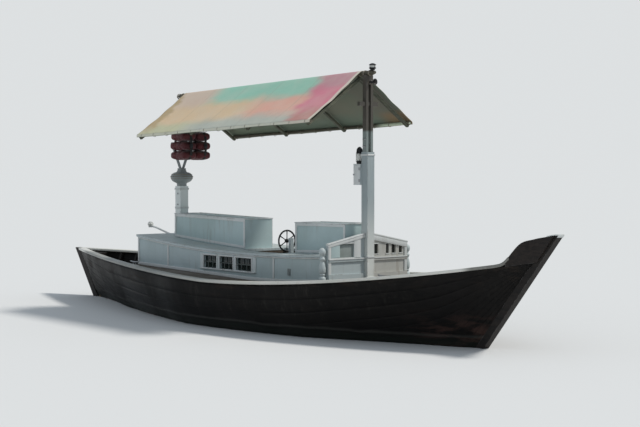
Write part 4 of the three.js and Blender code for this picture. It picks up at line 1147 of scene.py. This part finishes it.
def make_lamp(name, node, foot, shells, glass, bar, first_angle):
    """A turned lamp: its shells, four upright guard bars round it, and a glass. A bar is given by its
    distance from the middle, the height of its foot, its length and its radius."""
    out, low, reach, thick = bar
    cage = Form(*(turned(shell, foot) for shell in shells))
    for angle in np.arange(4) * math.pi / 2 + first_angle:
        start = foot + (out * math.cos(angle), out * math.sin(angle), low)
        cage.add(carried(np.linspace(start, start + (0, 0, reach), 2), circle(8) * thick, (1, 0, 0)))
    cage.made(f"{name}_cage", "black_metal", "black_fittings", node)
    Form(turned(fair(glass, 24), foot)).made(f"{name}_glass", "lamp_glass", "lamp_shell")


def make_lamps():
    """The locker's lamp, the masthead lamp, the flared horn, and the stern lamp on its bent arm."""
    foot, bar = np.array([FORE_FACE - 0.07, -0.028, 2.1043]), (0.0435, 0.042, 0.098, 0.0022)
    make_lamp("post_lamp", "post_lamp", foot, (LAMP_SHELL, LAMP_HOOD), LAMP_GLASS, bar, 0.785)
    mast_x = CANOPY_FORE + 0.19
    foot, bar = np.array([mast_x, 0, ridge_z(mast_x) + POLE]), (0.043, 0.026, 0.038, 0.002)
    make_lamp("masthead", "masthead_lamp", foot, (MAST_BASE, MAST_TOP), MAST_LENS, bar, 0)
    bell = Form(turned(HORN_BELL, (FORE_FACE + 0.0903, 0, 3.13), (1, 0, 0)))
    bell.made("horn_bell", "black_metal", "black_fittings", "horn")
    lamp_x = -2.72
    foot = (lamp_x, 0, 1.155)
    bend = ((-2.0523, 1.045), (-2.3, 1.098), (-2.56, 1.156), (-2.7, 1.182), (lamp_x, 1.19))
    Form(
        carried(fair([(x, 0, z) for x, z in bend], 40), circle(16) * 0.0135),
        board((-2.06, -0.04, 1.0), (-2.0505, 0.04, 1.0558)),
        turned(STERN_CUP, foot, sides=28),
        turned(STERN_LID, foot, sides=28),
    ).made("stern_lamp_arm", "lamp_paint", "lamp_shell", "stern_lamp")
    Form(turned(fair(STERN_GLOBE, 30), foot)).made("stern_lamp_glass", "lamp_glass", "lamp_shell")
    heads = [(-2.06, y, z) for y in (-0.028, 0.028) for z in (1.012, 1.044)]
    screws = Form(*(turned(SCREW_HEAD, place, (-1, 0, 0), 12) for place in heads))
    screws.made("stern_lamp_screws", "galvanised", "iron")


# Canopy.
ALONG_RIDGE = (1, 0, RIDGE_SLOPE)
RAFTERS = (2.13, 0.87, -0.41, -1.68)
RAFTER_PITCH = 1.27
EAVE_Y = CANOPY_HALF - 0.026


def eave_z(x):
    return ridge_z(x) - EAVE_DROP + 0.012


def make_spars():
    """Ridge pole and eave rails: round spars, a touch thinner at the ends, with faint knots."""
    x = np.linspace(CANOPY_AFT - 0.19, CANOPY_FORE + 0.24, 90)
    knots = 1 + 0.012 * np.sin(x * 7.1) + 0.01 * np.sin(x * 17.3 + 1)
    ends = np.clip(np.minimum(x - x[0], x[-1] - x) / 0.012, 0.55, 1)
    size = np.minimum(knots, 1.0) * ends
    ridge = Form(carried(spread(x, 0, ridge_z(x)), circle(24) * (POLE - 0.0008), size=size))
    ridge.made("ridge_spar", "spar_wood", "pole_wood", "ridge_pole")
    x = np.linspace(CANOPY_AFT + 0.015, CANOPY_FORE - 0.015, 80)
    ends = np.clip(np.minimum(x - x[0], x[-1] - x) / 0.01, 0.6, 1)
    for (side, sign), look in zip(SIDES, ("spar_wood", "painted_spar")):
        eave = Form(carried(spread(x, sign * EAVE_Y, eave_z(x)), circle(20) * 0.0197, size=ends))
        eave.made(f"eave_spar_{side}", look, "pole_wood", f"eave_rail_{side}")


def make_cloth():
    """The canopy cloth, one sheet from eave to eave. Across it the height falls as a hyperbola that bends
    over the ridge spar, less a slack curve. Along it the slack grows between the rafters, the free ends wave,
    and the hem hangs over the eave rail. Its measures across and along are given back."""
    u = np.linspace(0, 1, 150)[:, None]
    reach = np.r_[np.linspace(0, 0.05, 6), np.linspace(0.07, 1, 42)][None]
    hem = np.linspace(0, 1, 7)[1:][None]
    x = CANOPY_AFT + (CANOPY_FORE - CANOPY_AFT) * u
    ridge = ridge_z(x)
    edge_y, edge_z, top, bend = CANOPY_HALF + 0.0025, -EAVE_DROP + 0.025, POLE + 0.0045, 0.02
    belly = np.sin(math.pi * reach)
    bays = 0.5 - 0.5 * np.cos((x - RAFTERS[0]) / RAFTER_PITCH * 2 * math.pi)
    slack = (0.016 + 0.012 * bays) * belly**1.2
    folds = 0.0035 * np.sin(x * 9.0 + 6 * reach) * belly + 0.0022 * np.sin(x * 23.0 - 9 * reach + 1.3) * reach
    free = np.exp(-((1 - u) / 0.03)) + np.exp(-(u / 0.03))
    flutter = 0.006 * free * np.sin(reach * 19.0) * belly
    bent = (np.hypot(edge_y * reach, bend) - bend) / (np.hypot(edge_y, bend) - bend)
    halves = []
    for phase in (0.0, 1.9):
        wave = folds * np.cos(phase) + 0.003 * np.sin(x * 6.3 + phase * 2 + 4 * reach) * belly
        z = ridge + top + (edge_z - top) * bent - slack + wave + flutter
        hem_y = edge_y + 0.0035 * np.sin(hem * math.pi / 2) + 0.0015 * np.sin(x * 11 + phase) * hem
        hem_z = ridge + edge_z - (0.036 + 0.004 * np.sin(x * 4.1 + phase)) * hem
        cloth, skirt = spread(x, edge_y * reach, z), spread(x, hem_y, hem_z)
        halves.append(np.concatenate([cloth, skirt], axis=1))
    grid = np.concatenate([halves[0][:, :0:-1] * (1, -1, 1), halves[1]], axis=1)
    down = np.concatenate([reach * 0.94, 0.94 + 0.06 * hem], axis=1)
    lie = np.stack(np.broadcast_arrays(u, np.concatenate([-down[:, :0:-1], down], axis=1)), axis=-1)
    width, length = (
        np.linalg.norm(np.diff(grid, axis=way), axis=-1).sum(axis=way).mean() for way in (1, 0)
    )
    sheet = Form(grid[::-1], columns_close=False, uv=lie[::-1])
    cloth = sheet.made("canopy_sheet", "canopy_canvas", "canvas", "canopy_cloth", closed=False, sharp=80)
    thickened(cloth, 0.0024, 0)
    return width, length


def make_lashings():
    """Line lashings where the rafters meet the spars, and ties that hold the cloth to the eave rails."""
    lines = Form()

    def on_ridge(x, step, slack, cord):
        for at in (x - step, x + step):
            lines.add(lashing((at, 0, ridge_z(at)), ALONG_RIDGE, POLE + slack, 4, cord))

    for x in RAFTERS:
        on_ridge(x, 0.034, 0.002, 0.0032)
        for _, sign in SIDES:
            for at in (x - 0.032, x + 0.032):
                lines.add(lashing((at, sign * EAVE_Y, eave_z(x)), ALONG_RIDGE, 0.0218, 3, 0.003))
    for x in (FORE_BARS_X, AFT_POST_X):
        on_ridge(x, 0.05, 0.003, 0.0035)
    lines.add(lashing((AFT_POST_X, 0, 2.5), (0, 0, 1), 0.0275, 6, 0.0035))
    for x in np.arange(CANOPY_AFT + 0.12, CANOPY_FORE - 0.05, 0.31):
        for _, sign in SIDES:
            place = (x, sign * (CANOPY_HALF - 0.0195), ridge_z(x) - EAVE_DROP + 0.008)
            lines.add(lashing(place, ALONG_RIDGE, 0.0275, 2, 0.0022))
    lines.made("canopy_lashings", "lashing_line", "canvas")


# Life jackets.
PAD_LAYERS = 3
PAD_VOXEL = 0.0075
PAD_SWELL = 0.009
PAD_FRAMES = 16
PAD_TURNS = (0, 178, 3, 181, -3, 176)
CHANNELS = (-0.16, 0.17)
CHANNEL_DEPTH, CHANNEL_WIDTH = 0.34, 0.009
STRAPS = (-0.125, 0.125)


def puffed(size, rows=40):
    """A stuffed pad: a rounded block on a sphere's grid, each direction raised to a power so that sides stay
    full."""
    lift = np.linspace(-math.pi / 2, math.pi / 2, rows)[:, None]
    turn = np.linspace(-math.pi, math.pi, rows * 2, endpoint=False)[None]
    level = blunt(np.cos(lift), 0.5)
    x, y = level * blunt(np.cos(turn), 0.32), level * blunt(np.sin(turn), 0.32)
    return spread(x, y, blunt(np.sin(lift), 0.62)) * np.array(size) / 2


def press(piece):
    """Applies all of a piece's modifiers to its mesh."""
    depsgraph = bpy.context.evaluated_depsgraph_get()
    mesh = bpy.data.meshes.new_from_object(piece.evaluated_get(depsgraph))
    piece.modifiers.clear()
    piece.data = mesh


def corners_of(piece):
    points = np.empty(len(piece.data.vertices) * 3)
    piece.data.vertices.foreach_get("co", points)
    return points.reshape(-1, 3)


def set_corners(piece, points):
    piece.data.vertices.foreach_set("co", points.ravel())
    piece.data.polygons.foreach_set("use_smooth", np.ones(len(piece.data.polygons), bool))
    piece.data.update()


def blow_up(pad):
    """Blows a pad up by cloth simulation under pressure, no corner farther than the swell, and smooths it."""
    even = pad.modifiers.new("even", "REMESH")
    even.mode = "VOXEL"
    even.voxel_size = PAD_VOXEL
    press(pad)
    before = corners_of(pad)
    blown = pad.modifiers.new("blown", "CLOTH")
    blown.settings.use_pressure = True
    blown.settings.uniform_pressure_force = 3.0
    blown.settings.tension_stiffness = 12
    blown.settings.compression_stiffness = 12
    blown.settings.bending_stiffness = 0.4
    blown.settings.effector_weights.gravity = 0
    blown.point_cache.frame_start, blown.point_cache.frame_end = 1, PAD_FRAMES
    for step in range(1, PAD_FRAMES + 1):
        bpy.context.scene.frame_set(step)
    press(pad)
    bpy.context.scene.frame_set(1)
    moved = corners_of(pad) - before
    far = np.linalg.norm(moved, axis=1, keepdims=True)
    set_corners(pad, before + moved * np.minimum(1, PAD_SWELL / np.maximum(far, 1e-9)))
    smooth = pad.modifiers.new("smooth", "SUBSURF")
    smooth.levels = smooth.render_levels = 1
    press(pad)


def make_pad(name, size):
    """A stuffed pad of jacket cloth, drawn in along two sewn channels, where its depth is cut by a narrow
    bell curve of the place along it."""
    pad = Form(puffed(size)).made(name, "jacket_cloth", "jacket_fabric", sharp=180)
    blow_up(pad)
    points = corners_of(pad)
    for channel in CHANNELS:
        away = (points[:, 0] - channel * size[0]) / CHANNEL_WIDTH
        points[:, 2] *= 1 - CHANNEL_DEPTH * np.exp(-(away**2))
    set_corners(pad, points)
    return pad


def make_jackets():
    """Stuffed jackets in two stacks under the canopy: one pad, copied, each turned a little on the spot."""
    low, high = (np.array(list(corner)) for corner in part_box("life_jackets"))
    middle = (low + high) / 2
    pitch = (high - low) / (1, 2, PAD_LAYERS)
    first = make_pad("life_jacket_1", pitch - 2 * PAD_SWELL - (0.012, 0.006, 0.0))
    flat = corners_of(first)
    for index, turn in enumerate(np.radians(PAD_TURNS)):
        layer, column = divmod(index, 2)
        pad = first
        if index:
            pad = first.copy()
            pad.data = first.data.copy()
            pad.name = f"life_jacket_{index + 1}"
            bpy.context.collection.objects.link(pad)
            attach(pad, "hull")
        cosine, sine = math.cos(turn), math.sin(turn)
        spin = np.array([[cosine, -sine, 0], [sine, cosine, 0], [0, 0, 1]])
        up = (layer + 0.5) * pitch[2] - (high - low)[2] / 2
        place = middle + (0.002 * (-1) ** layer, (column - 0.5) * pitch[1], up)
        set_corners(pad, flat @ spin.T + place)
    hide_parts("life_jackets")
    make_straps(middle, high - middle)


def make_straps(middle, half):
    """Webbing straps round the jackets and buckles on the straps. A strap is a flat band carried round a
    squared oval, whose two axes are cosine and sine raised to a small power."""
    straps, buckles = Form(), Form()
    webbing = rounded(0.04, 0.0024, 0.001)
    half_x, half_z = half[0] - 0.003, half[2] - 0.001
    across_x, across_z = blunt(circle(96), 0.45).T * ((half_x,), (half_z,))
    outward = unit(spread(across_x / half_x**2, 0, across_z / half_z**2))
    face = middle[0] + half[0]
    for y in STRAPS:
        loop = spread(middle[0] + across_x, y, middle[2] + across_z)
        band = loop[:, None] + webbing[None, :, :1] * (0, 1, 0) + webbing[None, :, 1:] * outward[:, None]
        straps.add(band, rows_close=True)
        for near, far, wide, deep, ease in (
            (-0.007, 0.004, 0.028, 0.03, 0.003),
            (0.003, 0.009, 0.018, 0.012, 0.002),
        ):
            low, high = (y - wide, middle[2] - deep), (y + wide, middle[2] + deep)
            buckles.add(*plates(0, face + near, face + far, [(low, high)], ease))
    straps.made("jacket_straps", "black_strap", "black_fittings", sharp=60)
    buckles.made("jacket_buckles", "black_metal", "black_fittings")


# Helm and screw.
WHEEL = np.array([0.65, 0, 1.085])
WHEEL_R, GRIP = 0.138, 0.0115


def make_wheel():
    """Steering wheel: a torus rim with finger dips, a turned hub and three through spokes."""
    around = np.linspace(0, 2 * math.pi, 96, endpoint=False)[:, None]
    grip = GRIP * circle(14)[None] * (1 + 0.05 * np.cos(18 * around))[..., None]
    ring = WHEEL_R + grip[..., 0]
    rim = WHEEL + spread(grip[..., 1], np.sin(around) * ring, np.cos(around) * ring)
    wheel = Form(rim, rows_close=True)
    size = 1 + 0.35 * np.cos(np.linspace(-math.pi, math.pi, 21)) ** 2
    for angle in np.arange(3) * math.pi / 3:
        reach = np.array([0, math.sin(angle), math.cos(angle)]) * (WHEEL_R - 0.004)
        spoke = np.linspace(-reach, reach, 21) + WHEEL
        wheel.add(carried(spoke, circle(12) * 0.0062, (1, 0, 0), size))
    wheel.add(turned(fair(WHEEL_HUB, 50), WHEEL, (1, 0, 0)))
    wheel.made("helm_wheel", "helm_black", "black_fittings", "steering_wheel", "helm", sharp=45)


SCREW = np.array([-3.92, 0, -0.32])
BLADE_ROOT, BLADE_TIP = 0.03, 0.162


def make_screw():
    """Three bladed screw: each blade a surface of radius and chord share, its pitch angle easing outward,
    thick at the root and thin at the tip and edges."""
    screw = Form(turned(fair(SCREW_HUB, 40), SCREW, (1, 0, 0), 36))
    radius = np.linspace(BLADE_ROOT, BLADE_TIP, 26)[:, None]
    share = (radius - BLADE_ROOT) / (BLADE_TIP - BLADE_ROOT)
    swell = np.sin(math.pi * np.clip(share * 0.93 + 0.05, 0, 1)) ** 0.8 * (1 - share**6)
    chord = np.maximum(0.036 + 0.085 * swell - 0.028 * share**4, 0.004)
    cosine, sine = circle(24).T
    pitch = np.radians(62 - 34 * share)
    run = chord / 2 * cosine
    lift = 0.0075 * (1 - 0.72 * share) * sine * np.sqrt(1 - 0.4 * cosine**2)
    along = run * np.sin(pitch) * 0.55 + lift * np.cos(pitch)
    bend = (run * np.cos(pitch) - lift * np.sin(pitch) + 0.012 * share) / radius
    for turn in np.arange(3) * 2 * math.pi / 3:
        blade = spread(along, -np.sin(turn + bend) * radius, np.cos(turn + bend) * radius)
        screw.add(capped(SCREW + blade))
    screw.made("screw_cast", "bronze", "bronze", "propeller", "screw", sharp=50)


make_hull_skin()
make_rail_caps()
make_bow_head()
make_ribs()
make_trunk_trim()
make_backrest_trim()
make_end_board_trim()
make_newels()
make_cleats()
make_collars()
make_ironwork()
make_post_head()
make_lamps()
make_spars()
cloth_size = make_cloth()
make_lashings()
make_jackets()
make_wheel()
make_screw()


# Floor, light and camera.
SUN = unit(np.array([0.4, 0.47, 0.8]))
SUN_POWER = 2.3
SUN_TINT = np.array([1.0, 0.965, 0.91])
SUN_SPREAD = 9
SKY = np.array([0.4, 0.445, 0.49])
FLOOR_TONE = np.array([0.74, 0.745, 0.745])
FLOOR_REACH = 400.0
EYE, AIM = Vector((16.04, -11.96, 2.1)), Vector((0.92, 0.35, 1.45))
LENS = 82


def placed(name, data):
    item = bpy.data.objects.new(name, data)
    bpy.context.collection.objects.link(item)
    return item


def make_floor():
    """A pale floor at the waterline."""
    mesh = bpy.data.meshes.new("floor")
    corners = [(x * FLOOR_REACH, y * FLOOR_REACH, 0) for x, y in ((-1, -1), (1, -1), (1, 1), (-1, 1))]
    mesh.from_pydata(corners, [], [(0, 1, 2, 3)])
    surface_of("floor_pale", {"Base Color": (*FLOOR_TONE, 1), "Specular IOR Level": 0.0, "Roughness": 1.0})
    mesh.materials.append(LOOKS["floor_pale"])
    placed("floor", mesh)


def make_light():
    """Soft light from ahead and port. What the camera sees past the floor has the floor's own brightness: its
    tone times the light that falls on it."""
    world = bpy.data.worlds.new("studio")
    world.use_nodes = True
    tree = world.node_tree
    tree.nodes.clear()
    beyond = FLOOR_TONE * (SKY + SUN_POWER * SUN_TINT * SUN[2] / math.pi)
    lit, seen = (lay("Background", {"Color": (*tone, 1)}, tree)[0] for tone in (SKY, beyond))
    camera_ray = lay("LightPath", {}, tree)["Is Camera Ray"]
    lay("OutputWorld", {"Surface": lay("MixShader", {0: camera_ray, 1: lit, 2: seen})[0]})
    bpy.context.scene.world = world
    sun = bpy.data.lights.new("sun", "SUN")
    sun.energy = SUN_POWER
    sun.color = SUN_TINT
    sun.angle = math.radians(SUN_SPREAD)
    placed("sun", sun).rotation_euler = Vector(-SUN).to_track_quat("-Z", "Y").to_euler()


def make_camera():
    data = bpy.data.cameras.new("camera")
    data.sensor_width = 36
    data.lens = LENS
    data.clip_end = 1500
    camera = placed("camera", data)
    camera.location = EYE
    camera.rotation_euler = (AIM - EYE).to_track_quat("-Z", "Y").to_euler()
    bpy.context.scene.camera = camera
    bpy.context.scene.view_settings.view_transform = "Standard"


make_floor()
make_light()
make_camera()
